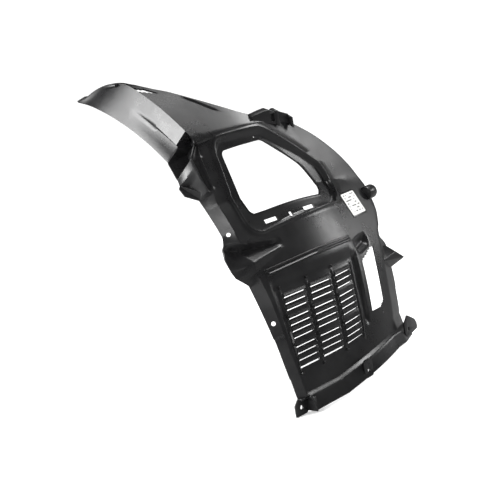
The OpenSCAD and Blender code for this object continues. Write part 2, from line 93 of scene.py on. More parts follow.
BAR_START, BAR_END = (SLOT_START - 12, SLOT_START - 8), (FIELD_BOTTOM - 8, FIELD_BOTTOM - 3)
BLOCK_TOP, BLOCK_BOTTOM, BLOCK_LEFT, BLOCK_RIGHT = 200.0, 362.0, 24.0, 310.0
SIDE_TOP, SIDE_CORNER, SIDE_LEFT, SIDE_TIP = 432.0, 445.0, 256.0, 297.0
SIDE_END_ROW = 7  # the side window ends with this row of slots, counted from 0
CHAMFER_WIDTH, CHAMFER_HEIGHT = 14.0, 9.0
CORNER = 335.0
BOTTOM_RIDGE = ARCH_LENGTH - 20
RIDGE_HEIGHT, RIDGE_RUN, RIDGE_SLOPE, RIDGE_END = 6.0, 6.0, 0.22, 21.0
HAIR = 0.01  # for grid lines that fall on a slot's edge

# line of the inboard edge, lip length against distance inboard, softened between two stations
EDGE = np.array([(-16, 20), (70, 22), (81, 30), (95, 44), (107, 60), (129, 82), (156, 112),
                 (172, 132), (181, 146), (188, 162), (197, 205), (204, 244), (218, 303), (244, 360),
                 (272, 398), (299, 417), (316, 417), (351, 409), (375, 397), (404, 378), (431, 358)], float)
EDGE_MARGIN, EDGE_REACH, SOFT_LENGTH, SOFT_PART = 40, 660, 37, (205, 425)
STRAIGHT_START, STRAIGHT_FADE = 400.0, 50.0
SQUARE_START, SQUARE_FADE = 188.0, 20.0
OUTER_PART = 230.0

# outboard line of the lip and of the panel's edge, lip length against distance inboard
LIP_LINE = np.array([(197, 0), (231, -9), (241.5, -13.4), (249, -2), (260, 0), (338, 0), (343, -2.5),
                     (357, -11), (371, -16.8), (390, -17.8), (401, -15.2), (412, -3.5), (417, 0)])
PANEL_LINE = np.array([(212, 0), (229, -19), (259, -14), (273, -9.5), (277.5, 0)])
LINE_FADE = 9.0

# the band on the side wall: where it ends at the lip and at the panel, its crease, and the pocket behind it
BAND_ENDS, BAND_FOLD = (196.5, 191.5), (0.5, 0.56)
CREASE_DEPTH, CREASE_LINE, CREASE_LENGTH, CREASE_END = 5.0, (0, 0.46, 0.47, 0.53), (95, 190), 2.0
POCKET_DEPTH, POCKET_FULLNESS, POCKET_MOUTH, POCKET_END = 27.0, 1.6, 3.5, (228, 230)

# share of the side wall's width that goes toward the foot, and the slant of the louvre field
FOOT_START, FOOT_LENGTH, FOOT_CUT = 430.0, 110.0, 0.4
SKEW_BASE, SKEW_GROWTH, SKEW_LENGTH = 24.0, 0.1, 98.0
SKEW_START, SKEW_FADE, SKEW_MARGIN = 385.0, 45.0, 12.0

# small shifts along the arch: the tilt of the ribs, the lift of the third column and the bottom edge
RIB_TILT, RIB_TENT, TILT_FROM = 0.04, (365, 412, 445), 30.0
LIFT, LIFT_RISE, LIFT_FALL, LIFT_TOP, LIFT_BOTTOM = 3.2, (158, 214), (219, 245), (425, 450), (560, 585)
BOTTOM_TILT, BOTTOM_PART, BOTTOM_START = 0.11, (120, 300), 545

# scoop at the outboard edge
SCOOP_WIDTH, SCOOP_FADE, SCOOP_LIP = 92.0, 76.0, 9.0
SCOOP_TOP, SCOOP_SWEEP, SCOOP_SNOUT, SCOOP_SLANT = 350.0, 11.0, 22.0, 0.1
SCOOP_CREST, SCOOP_BACK, CREST_SLANT = 393.0, 16.0, 0.12
SCOOP_DEPTH, SCOOP_FALL, CREST_HEIGHT, CREST_RADIUS, RISE_POWER = 15.0, 6.5, 6.0, 1.1, 1.15
SCOOP_SHARE = 0.35

# stations where a feature starts to rise, is full, starts to fall and is gone
RIB_REACH, RIB_HEIGHT, WEB_HEIGHT = (25, 29, 236, 241), 2.6, 0.9
UPPER_RIB, LOWER_RIB = (405.6, 407.2, 408.2, 410.2), (411.8, 413.8, 414.8, 416.4)
RIB_WEB = (408, 409.6, 412.4, 414)
GROOVE_DEPTH, GROOVE_LENGTH, GROOVE_WIDTH = 6.0, (428, 440, 524, 542), (228, 233, 238, 243)
ROOF_GROOVE, ROOF_GROOVE_LENGTH = 2.6, (124, 134, 160, 172)
ROOF_GROOVE_START, ROOF_GROOVE_SLOPE = (132, 78), 24 / 33
DENT_DEPTH, DENT_HALF, DENT_REACH = 8.0, 12.0, (258, 268, 304, 318)
DENT_PLACE, DENT_SLOPE = (425, 272), 0.16
STEP_HEIGHT, UPPER_STEP, STEP_FADE, LOWER_STEP = 1.1, (500.4, 502), (506, 540), (560, 562)
BEAD_LENGTH = (208, 216, 270, 274)
EDGE_BEADS = ((2.2, (13.9, 14.4, 14.8, 15.6)), (2.2, (19.2, 19.9, 20.3, 21.2)),
              (-2.4, (15.4, 16.4, 19, 19.8)))

# inboard flange: how far it turns down, where it widens, and its small steps
TOP_TURN, FOOT_TURN, TURN_START, TURN_FADE = 84.0, 29.0, 385.0, 50.0
FLANGE_START, WALL_START = (176, 200), (180, 206)
WIDE_START, WIDE_FADE = 410.0, 40.0
FLANGE_STEPS = ((8, 465, 497), (-4, 506, 509), (6, 509, 566))


def ease(t):
    t = np.clip(t, 0, 1)
    return t * t * (3 - 2 * t)


def ramp(t, a, b):
    return np.clip((t - a) / (b - a), 0, 1)


def soft(t, a, b):
    return ease((t - a) / (b - a))


def mix(a, b, t):
    return a + (b - a) * t


def raised(t, a, b, c, d):
    """Rises from a to b and falls from c to d."""
    return np.minimum(soft(t, a, b), 1 - soft(t, c, d))


def within(t, a, b):
    """True between a and b."""
    return (t > a) & (t < b)


def lean(s):
    """Angle of the arch from upright, at lip length s."""
    join = CROWN_LENGTH / CROWN_RADIUS
    turn = np.where(s < CROWN_LENGTH, s / CROWN_RADIUS, join + (s - CROWN_LENGTH) / FRONT_RADIUS)
    return math.radians(CROWN_LEAN) + turn


def lip(s):
    """The lip's line, from the centre of the crown's arc."""
    join = math.radians(CROWN_LEAN) + CROWN_LENGTH / CROWN_RADIUS
    a = lean(s)
    crown = s < CROWN_LENGTH
    r = np.where(crown, CROWN_RADIUS, FRONT_RADIUS)
    shift = np.where(crown, 0, CROWN_RADIUS - FRONT_RADIUS)
    return r * np.sin(a) + shift * math.sin(join), r * np.cos(a) + shift * math.cos(join)


def level(s):
    """Height of the shell over the lip: the tip, the roof, the drop and the panel."""
    tip = np.maximum(TIP_RISE, ROOF_RISE * (1 - np.clip((TIP_END - s) / TIP_LENGTH, 0, 1) ** TIP_POWER))
    t = np.clip((s - DROP_START) / DROP_LENGTH, 0, 1)
    return np.where(s < TIP_END, tip, mix(ROOF_RISE, PANEL_RISE, t) - DROP_SAG * t * (1 - t))


def bend(y):
    """Fall of the shell toward the inboard side: an arc, then a straight slope."""
    f = BEND_START + BEND_RADIUS * BEND_SLOPE
    arc = -(np.clip(y, BEND_START, f) - BEND_START) ** 2 / (2 * BEND_RADIUS)
    return arc - BEND_SLOPE * np.maximum(0, y - f)


def foot(s):
    """Share of the side wall's width that is left at lip length s."""
    return 1 - FOOT_CUT * ease((s - FOOT_START) / FOOT_LENGTH)


def skew(s, v):
    """Outboard shift of the louvre field, which slants as it goes down."""
    down = (np.minimum(s, FIELD_BOTTOM - SKEW_MARGIN) - SLOT_START) / SKEW_LENGTH
    start = ease((s - SKEW_START) / SKEW_FADE) * ramp(v, SIDE_LEAN, COLUMNS[0][0])
    return (SKEW_BASE + SKEW_GROWTH * v) * down * start


EDGE_STATIONS = np.arange(TIP_START - EDGE_MARGIN, EDGE_REACH, 1.0)
EDGE_LINE = np.interp(EDGE_STATIONS, EDGE[:, 0], EDGE[:, 1])
EDGE_SOFT = np.convolve(EDGE_LINE, np.hanning(SOFT_LENGTH) / np.hanning(SOFT_LENGTH).sum(), mode="same")
EDGE_LINE = np.where(within(EDGE_STATIONS, *SOFT_PART), EDGE_SOFT, EDGE_LINE)


def edge_y(s):
    """Distance inboard of the shell's inboard corner."""
    e = np.interp(s, EDGE_STATIONS, EDGE_LINE)
    straight = CORNER - skew(s, CORNER)
    return np.where(s < STRAIGHT_START, e, mix(e, straight, ease((s - STRAIGHT_START) / STRAIGHT_FADE)))


def across(s, v):
    """Distance inboard of column v: stretched to the edge on the roof, straight columns on the panel."""
    e = edge_y(s)
    stretched = SIDE_LEAN + (v - SIDE_LEAN) * (e - SIDE_LEAN) / (CORNER - SIDE_LEAN)
    beyond = np.maximum(0, v - OUTER_PART) / (CORNER - OUTER_PART) * (e + skew(s, CORNER) - CORNER)
    narrowed = SIDE_LEAN * (1 - foot(s)) * (1 - ramp(v, SIDE_LEAN, COLUMNS[0][0]))
    straight = v + beyond - skew(s, v) - narrowed
    panel_part = ease((s - SQUARE_START) / SQUARE_FADE)
    return np.where(v <= SIDE_LEAN, v * foot(s), mix(stretched, straight, panel_part))


def along(s, v):
    """Lip length of a grid point after the small shifts along the arch."""
    start, peak, end = RIB_TENT
    tent = np.minimum(ramp(s, start, peak), 1 - ramp(s, peak, end))
    lift = ramp(v, *LIFT_RISE) * (1 - ramp(v, *LIFT_FALL)) * ramp(s, *LIFT_TOP) * (1 - ramp(s, *LIFT_BOTTOM))
    low = np.maximum(0, np.minimum(v, BOTTOM_PART[1]) - BOTTOM_PART[0]) * ramp(s, BOTTOM_START, BOTTOM_RIDGE)
    return s - RIB_TILT * (v - TILT_FROM) * tent - LIFT * lift - BOTTOM_TILT * low


def side_shift(s, v):
    """Inboard shift of the side wall: the band's crease, the pocket after its end, and the lip's own line."""
    w = np.clip(v / SIDE_LEAN, 0, 1)
    fade = 1 - ramp(v, SIDE_LEAN, SIDE_LEAN + LINE_FADE)
    start = mix(*BAND_ENDS, ramp(w, *BAND_FOLD))
    bulge = np.clip(np.sin(np.pi * w) * POCKET_FULLNESS, 0, 1)
    pocket = POCKET_DEPTH * bulge * ramp(s, start, start + POCKET_MOUTH) * (1 - ramp(s, *POCKET_END))
    crease = CREASE_DEPTH * raised(w, *CREASE_LINE) * ramp(s, *CREASE_LENGTH)
    crease = crease * (1 - ramp(s, start - CREASE_END, start))
    edge = np.interp(s, PANEL_LINE[:, 0], PANEL_LINE[:, 1], left=0, right=0)
    rim = np.interp(s, LIP_LINE[:, 0], LIP_LINE[:, 1], left=0, right=0)
    return (pocket + crease) * (v <= SIDE_LEAN) + mix(rim, edge, w) * fade


def scoop(s, y):
    """The scoop: a short fall, a long rise to its crest and the slope behind it, shallower inboard."""
    k = np.clip(1 - y / SCOOP_WIDTH, 0, 1)
    start = SCOOP_TOP + SCOOP_SWEEP * ease(y / SCOOP_SNOUT) + SCOOP_SLANT * np.maximum(0, y - SCOOP_SNOUT)
    crest = SCOOP_CREST - CREST_SLANT * y
    end = crest + SCOOP_BACK - CREST_SLANT * y
    part = np.clip((s - start - SCOOP_FALL) / (crest - start - SCOOP_FALL), 0, 2)
    fall = -SCOOP_DEPTH * (s - start) / SCOOP_FALL
    rise = -SCOOP_DEPTH + (SCOOP_DEPTH + CREST_HEIGHT) * part ** RISE_POWER
    back = CREST_HEIGHT - CREST_HEIGHT * (s - crest) / (end - crest)
    ridge = -CREST_RADIUS * np.logaddexp(-rise / CREST_RADIUS, -back / CREST_RADIUS)
    ridge = np.where(s < crest, ridge, np.maximum(ridge, 0))
    h = np.where(s < start, 0, np.where(s < start + SCOOP_FALL, fall, ridge))
    share = SCOOP_SHARE + (1 - SCOOP_SHARE) * k
    return share * (1 - soft(y, SCOOP_FADE, SCOOP_WIDTH)) * h * (k > 0) * ramp(y, 0, SCOOP_LIP)


def slot_top(r):
    group = 0 if r < GROUPS[0] else 1 if r < GROUPS[0] + GROUPS[1] else 2
    return SLOT_START + r * SLOT_PITCH + group * GROUP_GAP


SLOT_TOPS = [slot_top(r) for r in range(ROWS)]


def slats(s, v):
    """Each slat leans out toward the slot below it, and ends in short walls at the columns' ends."""
    rise = np.zeros_like(s)
    for r, top in enumerate(SLOT_TOPS):
        start = SLOT_TOPS[r - 1] + SLOT_HEIGHT if r else top - FIRST_SLAT
        start = max(start, top - SLAT_LENGTH)
        slope = np.where(s <= top + HAIR, ramp(s, start, top), 1 - ramp(s, top, top + SLOT_HEIGHT))
        rise = np.maximum(rise, slope * within(s, start - HAIR, top + SLOT_HEIGHT))
    wide = np.zeros_like(s)
    for a, b in COLUMNS:
        ends = a - COLUMN_WALL, a - COLUMN_GAP, b + COLUMN_GAP, b + COLUMN_WALL
        wide = np.maximum(wide, raised(v, *ends))
    return SLAT_RISE * rise * wide


def bars(s, v):
    """Round bars between the louvre columns."""
    length = soft(s, *BAR_START) * (1 - soft(s, *BAR_END))
    h = np.zeros_like(s)
    for c in BARS:
        dome = np.sqrt(np.clip(1 - ((v - c) / BAR_HALF) ** 2, 0, 1))
        h = np.maximum(h, BAR_HEIGHT * dome * length)
    return h


def louvre_field(s, v):
    """The sunk field that the louvres lie in, shallower toward the foot."""
    sunk = soft(s, *FIELD_START) * (1 - soft(s, *FIELD_FADE))
    return -FIELD_DEPTH * sunk * raised(v, *FIELD_SIDES)


def ribs(s, v):
    """The double rib over the louvres, with a low web between its crests."""
    crests = np.maximum(raised(s, *UPPER_RIB), raised(s, *LOWER_RIB))
    return (RIB_HEIGHT * crests + WEB_HEIGHT * raised(s, *RIB_WEB)) * raised(v, *RIB_REACH)


def side_groove(s, v):
    """Groove between the louvres and the side window."""
    return -GROOVE_DEPTH * raised(s, *GROOVE_LENGTH) * raised(v, *GROOVE_WIDTH)


def roof_groove(s, y):
    """Slanting groove on the roof."""
    line = ROOF_GROOVE_START[1] + (s - ROOF_GROOVE_START[0]) * ROOF_GROOVE_SLOPE
    return -ROOF_GROOVE * np.exp(-((y - line) / ROOF_GROOVE) ** 2) * raised(s, *ROOF_GROOVE_LENGTH)


def limb_dent(s, y):
    """Dent across the rear limb."""
    off = s - (DENT_PLACE[0] - (y - DENT_PLACE[1]) * DENT_SLOPE)
    return -DENT_DEPTH * (1 - ease(np.abs(off) / DENT_HALF)) * raised(y, *DENT_REACH)


def band_steps(s, v):
    """Small steps of the side wall beside the louvres."""
    upper = soft(s, *UPPER_STEP) * (1 - ramp(s, *STEP_FADE))
    return STEP_HEIGHT * (upper + soft(s, *LOWER_STEP)) * (v < SIDE_LEAN)


def bottom_ridge(s, v):
    """The step up to the bottom flange, and the flange's own slope."""
    step = RIDGE_HEIGHT * soft(s, BOTTOM_RIDGE - RIDGE_RUN, BOTTOM_RIDGE)
    return (step + RIDGE_SLOPE * np.maximum(0, s - BOTTOM_RIDGE)) * ramp(v, SIDE_LEAN, RIDGE_END)


def edge_beads(s, v):
    """Two beads with a groove between them, where the side wall meets the drop."""
    return raised(s, *BEAD_LENGTH) * sum(height * raised(v, *line) for height, line in EDGE_BEADS)


def features(s, v, y):
    on_arch = scoop(s, y) + roof_groove(s, y) + limb_dent(s, y) + bottom_ridge(s, v) + band_steps(s, v)
    return on_arch + ribs(s, v) + louvre_field(s, v) + side_groove(s, v) + slats(s, v) + bars(s, v)


def end_turn(s):
    """How far the inboard corner turns down, in radians."""
    return np.radians(mix(TOP_TURN, FOOT_TURN, ease((s - TURN_START) / TURN_FADE)))


def past_corner(s):
    """Width of the inboard wall or flange after its corner."""
    wall = mix(EDGE_STUB, INBOARD_WALL, ramp(s, *WALL_START))
    steps = sum(size * ramp(s, a, b) for size, a, b in FLANGE_STEPS)
    return mix(wall, INBOARD_FLANGE, ease((s - WIDE_START) / WIDE_FADE)) + steps


def roll(s, t):
    """Shift inboard and outward of a point at the share t of the corner and the wall after it."""
    e = end_turn(s)
    arc = CORNER_RADIUS * (e - START_TURN)
    d = t * mix(EDGE_STUB, arc + past_corner(s), ramp(s, *FLANGE_START))
    a = START_TURN + (e - START_TURN) * np.clip(d / arc, 0, 1)
    w = np.maximum(0, d - arc)
    return (CORNER_RADIUS * (np.sin(a) - math.sin(START_TURN)) + w * np.cos(e),
            -CORNER_RADIUS * (math.cos(START_TURN) - np.cos(a)) - w * np.sin(e))


def place(s, y, h):
    """Points at lip length s, y inboard and h outside the lip, from the centre of the crown's arc."""
    x, z = lip(s)
    a = lean(s)
    return np.stack(np.broadcast_arrays(x + h * np.sin(a), y, z + h * np.cos(a)), -1)


def at(s, y, h):
    """One point at lip length s, y inboard and h outside the lip."""
    return place(np.array(float(s)), y, h)


def panel(s, y, h=0.0):
    """One point at height h over the shell's level surface."""
    s, y = np.array(float(s)), np.array(float(y))
    return place(s, y, level(s) + bend(y) + h)


def skin(s, v):
    """Points of the shell's outer face at lip length s and column v."""
    y = across(s, np.minimum(v, CORNER))
    knee = KNEE * np.log1p(np.exp(-np.abs(DROP_START + DROP_LENGTH - s) / KNEE)) / DROP_LENGTH
    rise = level(s) + (ROOF_RISE - PANEL_RISE - DROP_SAG) * knee * soft(v, *KNEE_REACH)
    h = np.where(v <= SIDE_LEAN, rise * v / SIDE_LEAN, rise + bend(y))
    roll_y, roll_h = roll(s, np.maximum(0, v - CORNER))
    past = v > CORNER
    y_out = y + np.where(past, roll_y, 0) + side_shift(s, v)
    h_out = h + np.where(past, roll_h, 0) + features(s, v, y) + edge_beads(s, v)
    return place(along(s, v), y_out, h_out)


ORIGIN = at(*OUTER_HOLE) - np.array([TAB_WALL / 2, 0, 0])


# window: rings between the panel and the opening, with corners as lip length, distance inboard and radius
OPENING = [(224, 64, 8), (220, 159, 24), (264, 238, 60), (300, 272, 16), (317, 252, 8), (322, 70, 10)]
FRAME = [(211.5, 47, 22), (210, 159, 40), (274, 310, 40), (336, 300, 34), (356, 42, 26)]
CENTRE = np.array([276.0, 158.0])

# the frame's profile as distance in from its line and height over the panel
FRAME_PROFILE = ((-5, 0), (-3.6, 0.7), (-2, BEAD), (-0.3, BEAD + 0.3), (1.4, BEAD), (2.8, 0.4), (4.2, -2.6),
                 (5.6, -5.4), (7, -6.7), (9, -FRAME_DEPTH))
FLOOR_START, FLOOR_SHARE, FLOOR_PARTS, RIM_LIFT = 9.0, 0.7, (0.25, 0.5, 0.75, 0.93), 0.8
NARROW_SHARE, NARROW_GROWTH = 0.25, 0.05
BLEND_PARTS = (0.33, 0.66)
PARALLEL, OVERLAP = 1e-12, 0.001  # for directions that miss a side, or meet it at its end

# slit in the roof: the columns of its outboard and its inboard side at stations along the arch
SLIT_STATIONS, SLIT_OUTBOARD = (84, 95, 100, 106), (16, 20, 103, 189)
SLIT_INNER_STATIONS, SLIT_INBOARD = (84, 91, 100, 106), (60, 211, 219, 218)
FLANGE_NOTCH, NOTCH_COLUMN = 1.5, 20.4

# grid of the shell: stations along the arch and columns that get a line of their own, and the steps between
ROOF_KEY, BAND_KEYS = 78, (189.5, 195)
LIP_KEYS, PANEL_KEYS = (231, 241.5, 249, 343), (212, 259, 273, 277.5)
SIDE_KEYS = (0, 1.5, 3.1, 4.8, 6.4, 7.0, 7.5, 8.6, 9.8, 10.8, 11.8, 12.6, 13.3)
BEAD_KEYS, GROOVE_KEYS = (14.6, 15.2, 15.9, 17.5, 19.2, 19.8, 21.2), (233, 237, 247)
GRID_STEP, COLUMN_STEP, CORNER_STEPS, SMALLEST_STEP = 3.0, 3.3, 22, 0.3
FINE_START, FINE_END, FINE_STEP = 348.0, 412.0, 1.5


def rounded(corners, steps=10):
    """Outline through the corners, each of them rounded by its radius."""
    path = []
    for k, (s, y, radius) in enumerate(corners):
        p = np.array([s, y], float)
        a = np.array(corners[k - 1][:2]) - p
        b = np.array(corners[(k + 1) % len(corners)][:2]) - p
        a, b = a / np.linalg.norm(a), b / np.linalg.norm(b)
        half = math.acos(float(a @ b)) / 2
        tangent = radius / math.tan(half)
        bisector = (a + b) / np.linalg.norm(a + b)
        o = p + bisector * radius / math.sin(half)
        start, end = p + a * tangent - o, p + b * tangent - o
        first = math.atan2(start[1], start[0])
        turn = (math.atan2(end[1], end[0]) - first + math.pi) % (2 * math.pi) - math.pi
        angles = [first + turn * q / steps for q in range(steps + 1)]
        path += [o + radius * np.array([math.cos(g), math.sin(g)]) for g in angles]
    return np.array(path)


def reach(path, d):
    """How far along each direction in d the path is met from the window's centre."""
    a = path - CENTRE
    e = np.roll(a, -1, axis=0) - a
    den = d[:, None, 0] * e[None, :, 1] - d[:, None, 1] * e[None, :, 0]
    den = np.where(np.abs(den) < PARALLEL, PARALLEL, den)
    t = (a[None, :, 0] * e[None, :, 1] - a[None, :, 1] * e[None, :, 0]) / den
    u = (a[None, :, 0] * d[:, None, 1] - a[None, :, 1] * d[:, None, 0]) / den
    return np.where(within(u, -OVERLAP, 1 + OVERLAP), t, -1).max(1)


def lines(keys, step):
    """Grid lines through all the keys, never further apart than the step."""
    out = [keys[0]]
    for a, b in zip(keys, keys[1:]):
        n = max(1, math.ceil((b - a) / step - 1e-6))
        out += [a + (b - a) * (k + 1) / n for k in range(n)]
    return np.array(out)


def find(values, x):
    return int(np.argmin(np.abs(values - x)))


def lip_lines():
    """Grid lines along the arch, through every edge and slot and close together at the scoop and the ribs."""
    keys = sorted([TIP_START, ROOF_KEY, *BAND_KEYS, *BAND_ENDS, *POCKET_END, *LIP_KEYS, *PANEL_KEYS,
                   BLOCK_TOP, DROP_START, BLOCK_BOTTOM, SIDE_TOP, SLOT_START - FIRST_SLAT])
    for top in SLOT_TOPS:
        keys += [top, top + SLOT_HEIGHT]
    keys += [SLOT_TOPS[-1] + SLOT_HEIGHT + LAST_SLOT_EXTRA, FIELD_BOTTOM - 1, FIELD_BOTTOM + 7,
             BOTTOM_RIDGE - RIDGE_RUN, BOTTOM_RIDGE - FLANGE_NOTCH, BOTTOM_RIDGE, ARCH_LENGTH]
    fine = np.arange(FINE_START, FINE_END, FINE_STEP)
    s = np.unique(np.concatenate([lines(keys, GRID_STEP), fine, UPPER_RIB, LOWER_RIB]))
    return s[np.concatenate([[True], np.diff(s) > SMALLEST_STEP])]


def column_lines():
    """Grid lines across the shell, close together on the side wall and at the louvres' ends."""
    keys = [*SIDE_KEYS, SIDE_LEAN, *BEAD_KEYS, NOTCH_COLUMN, BLOCK_LEFT, FIELD_LEFT + 1]
    for c in BARS:
        keys += [c - BAR_HALF, c, c + BAR_HALF]
    for a, b in COLUMNS:
        keys += [a - COLUMN_GAP, a, b, b + COLUMN_GAP]
    keys += [FIELD_RIGHT, *GROOVE_KEYS, SIDE_LEFT, SIDE_TIP, BLOCK_RIGHT, CORNER]
    past = CORNER + np.linspace(0, 1, CORNER_STEPS)[1:]
    return np.concatenate([lines(sorted(set(keys)), COLUMN_STEP), past])


def openings(s, v):
    """True for the grid's faces that are left out, told by their middles."""
    s, v = np.meshgrid((s[:-1] + s[1:]) / 2, (v[:-1] + v[1:]) / 2, indexing="ij")
    hole = within(s, BLOCK_TOP, BLOCK_BOTTOM) & within(v, BLOCK_LEFT, BLOCK_RIGHT)
    in_column = np.zeros_like(hole)
    for a, b in COLUMNS:
        in_column |= within(v, a, b)
    for top in SLOT_TOPS:
        extra = LAST_SLOT_EXTRA if top == SLOT_TOPS[-1] else 0
        hole |= within(s, top, top + SLOT_HEIGHT + extra) & in_column
    side_end = SLOT_TOPS[SIDE_END_ROW] + SLOT_HEIGHT
    side_tip = SIDE_LEFT + (SIDE_TIP - SIDE_LEFT) * (1 - (s - SIDE_TOP) / (SIDE_CORNER - SIDE_TOP))
    chamfer = v > BLOCK_RIGHT - CHAMFER_WIDTH * (s - side_end + CHAMFER_HEIGHT) / CHAMFER_HEIGHT
    hole |= within(s, SIDE_CORNER, side_end) & within(v, SIDE_LEFT, BLOCK_RIGHT) & ~chamfer
    hole |= within(s, SIDE_TOP, SIDE_CORNER) & within(v, side_tip, BLOCK_RIGHT)
    hole |= (s > BOTTOM_RIDGE - FLANGE_NOTCH) & (v < NOTCH_COLUMN)
    outboard = np.interp(s, SLIT_STATIONS, SLIT_OUTBOARD)
    inboard = np.interp(s, SLIT_INNER_STATIONS, SLIT_INBOARD)
    return hole | within(s, SLIT_STATIONS[0], SLIT_STATIONS[-1]) & within(v, outboard, inboard)


def block_edge(s, v):
    """Row and column numbers of the grid points round the window's block, in order."""
    top, bottom = find(s, BLOCK_TOP), find(s, BLOCK_BOTTOM)
    left, right = find(v, BLOCK_LEFT), find(v, BLOCK_RIGHT)
    loop = ([(top, j) for j in range(left, right)] + [(i, right) for i in range(top, bottom)]
            + [(bottom, j) for j in range(right, left, -1)] + [(i, left) for i in range(bottom, top, -1)])
    return np.array(loop).T


def window_rings(edge):
    """Rings of points from the block's edge over the frame's bead and down to the rim of the opening."""
    d = edge - CENTRE
    frame_line = reach(rounded(FRAME), d)
    opening = reach(rounded(OPENING), d)
    size = np.linalg.norm(d, axis=1)
    gap = (frame_line - opening) * size
    rings = []
    for distance, h in FRAME_PROFILE:
        limit = np.minimum(distance, gap * (NARROW_SHARE + NARROW_GROWTH * distance))
        rings.append((frame_line - limit / size, h))
    floor_start = frame_line - np.minimum(FLOOR_START, gap * FLOOR_SHARE) / size
    for part in FLOOR_PARTS:
        rings.append((mix(floor_start, opening, part), -FRAME_DEPTH))
    rings.append((opening, -FRAME_DEPTH + RIM_LIFT))
    first = rings[0][0]
    rings = [(mix(1.0, first, part), 0.0) for part in BLEND_PARTS] + rings
    points = []
    for t, h in rings:
        s, y = (CENTRE + d * t[:, None]).T
        points.append(place(s, y, level(s) + bend(y) + h + scoop(s, y)))
    return points


def shell_surface():
    """The shell's outer face as points and quads, with its openings left out."""
    s, v = lip_lines(), column_lines()
    all_s, all_v = np.meshgrid(s, v, indexing="ij")
    points = [skin(all_s, all_v).reshape(-1, 3)]
    row, column = np.nonzero(~openings(s, v))
    low = row * len(v) + column
    quads = [np.stack([low, low + len(v), low + len(v) + 1, low + 1], 1)]
    row, column = block_edge(s, v)
    before = row * len(v) + column
    total = len(points[0])
    for ring in window_rings(np.stack([s[row], across(s[row], v[column])], 1)):
        ids = total + np.arange(len(ring))
        quads.append(np.stack([before, np.roll(before, -1), np.roll(ids, -1), ids], 1)[:, ::-1])
        points.append(ring)
        before = ids
        total += len(ring)
    return (np.concatenate(points) - ORIGIN) * MM, np.concatenate(quads)


def linked(name, data):
    """A new object in the scene, with its mesh, lamp or camera."""
    obj = bpy.data.objects.new(name, data)
    bpy.context.scene.collection.objects.link(obj)
    return obj


def from_bmesh(name, bm):
    mesh = bpy.data.meshes.new(name)
    bm.to_mesh(mesh)
    bm.free()
    return linked(name, mesh)


def mesh_object(name, points, faces):
    """A mesh object at the origin, with loose points left out."""
    used = np.unique(faces)
    index = np.full(len(points), -1)
    index[used] = np.arange(len(used))
    mesh = bpy.data.meshes.new(name)
    mesh.from_pydata(points[used].tolist(), [], index[faces].tolist())
    return linked(name, mesh)


def closed_mesh(name, points, faces):
    """A closed piece from its points and faces, with its faces turned outwards."""
    mesh = bpy.data.meshes.new(name)
    mesh.from_pydata([tuple(p) for p in points], [], faces)
    bm = bmesh.new()
    bm.from_mesh(mesh)
    bmesh.ops.recalc_face_normals(bm, faces=bm.faces)
    bm.to_mesh(mesh)
    bm.free()
    return linked(name, mesh)


def finished(obj):
    """Applies the object's modifiers to its mesh."""
    depsgraph = bpy.context.evaluated_depsgraph_get()
    mesh = bpy.data.meshes.new_from_object(obj.evaluated_get(depsgraph))
    obj.modifiers.clear()
    obj.data = mesh
    return obj


def shade(obj, angle=38):
    """Smooth shading with sharp edges past the angle in degrees."""
    mesh = obj.data
    mesh.shade_smooth()
    mesh.set_sharp_from_angle(angle=math.radians(angle))
    return obj


# materials: sizes of the grain and the scuffs as noise scales, and of the label's bars in metres
SHELL_GRAIN, SHELL_SCUFF = 900, 14
PAPER_GRAIN, PAPER_SCUFF = 1500, 60
ROW_PITCH, BAR_SHARE, BREAK_SCALE, ROW_SHIFT, PRINT_HALF = 0.0052, 0.42, 120.0, 3.7, (0.023, 0.0175)


def moulded_grain():
    """Fine grain and faint scuffs, as masks for the plastic and the paper."""
    group = bpy.data.node_groups.new("moulded_grain", "ShaderNodeTree")
    face = group.interface
    face.new_socket("Grain size", in_out="INPUT", socket_type="NodeSocketFloat").default_value = SHELL_GRAIN
    face.new_socket("Scuff size", in_out="INPUT", socket_type="NodeSocketFloat").default_value = SHELL_SCUFF
    face.new_socket("Height", in_out="OUTPUT", socket_type="NodeSocketFloat")
    face.new_socket("Scuff", in_out="OUTPUT", socket_type="NodeSocketFloat")
    nodes, links = group.nodes, group.links
    inside = nodes.new("NodeGroupInput")
    outside = nodes.new("NodeGroupOutput")
    coord = nodes.new("ShaderNodeTexCoord")
    grain = nodes.new("ShaderNodeTexNoise")
    grain.inputs["Detail"].default_value = 3
    links.new(coord.outputs["Object"], grain.inputs["Vector"])
    links.new(inside.outputs["Grain size"], grain.inputs["Scale"])
    scuff = nodes.new("ShaderNodeTexNoise")
    scuff.inputs["Detail"].default_value = 8
    scuff.inputs["Roughness"].default_value = 0.7
    links.new(coord.outputs["Object"], scuff.inputs["Vector"])
    links.new(inside.outputs["Scuff size"], scuff.inputs["Scale"])
    links.new(grain.outputs["Fac"], outside.inputs["Height"])
    links.new(scuff.outputs["Fac"], outside.inputs["Scuff"])
    return group


def grained(nodes, grain, grain_size, scuff_size):
    """The grain in a material of its own, with that material's sizes."""
    group = nodes.new("ShaderNodeGroup")
    group.node_tree = grain
    group.inputs["Grain size"].default_value = grain_size
    group.inputs["Scuff size"].default_value = scuff_size
    return group


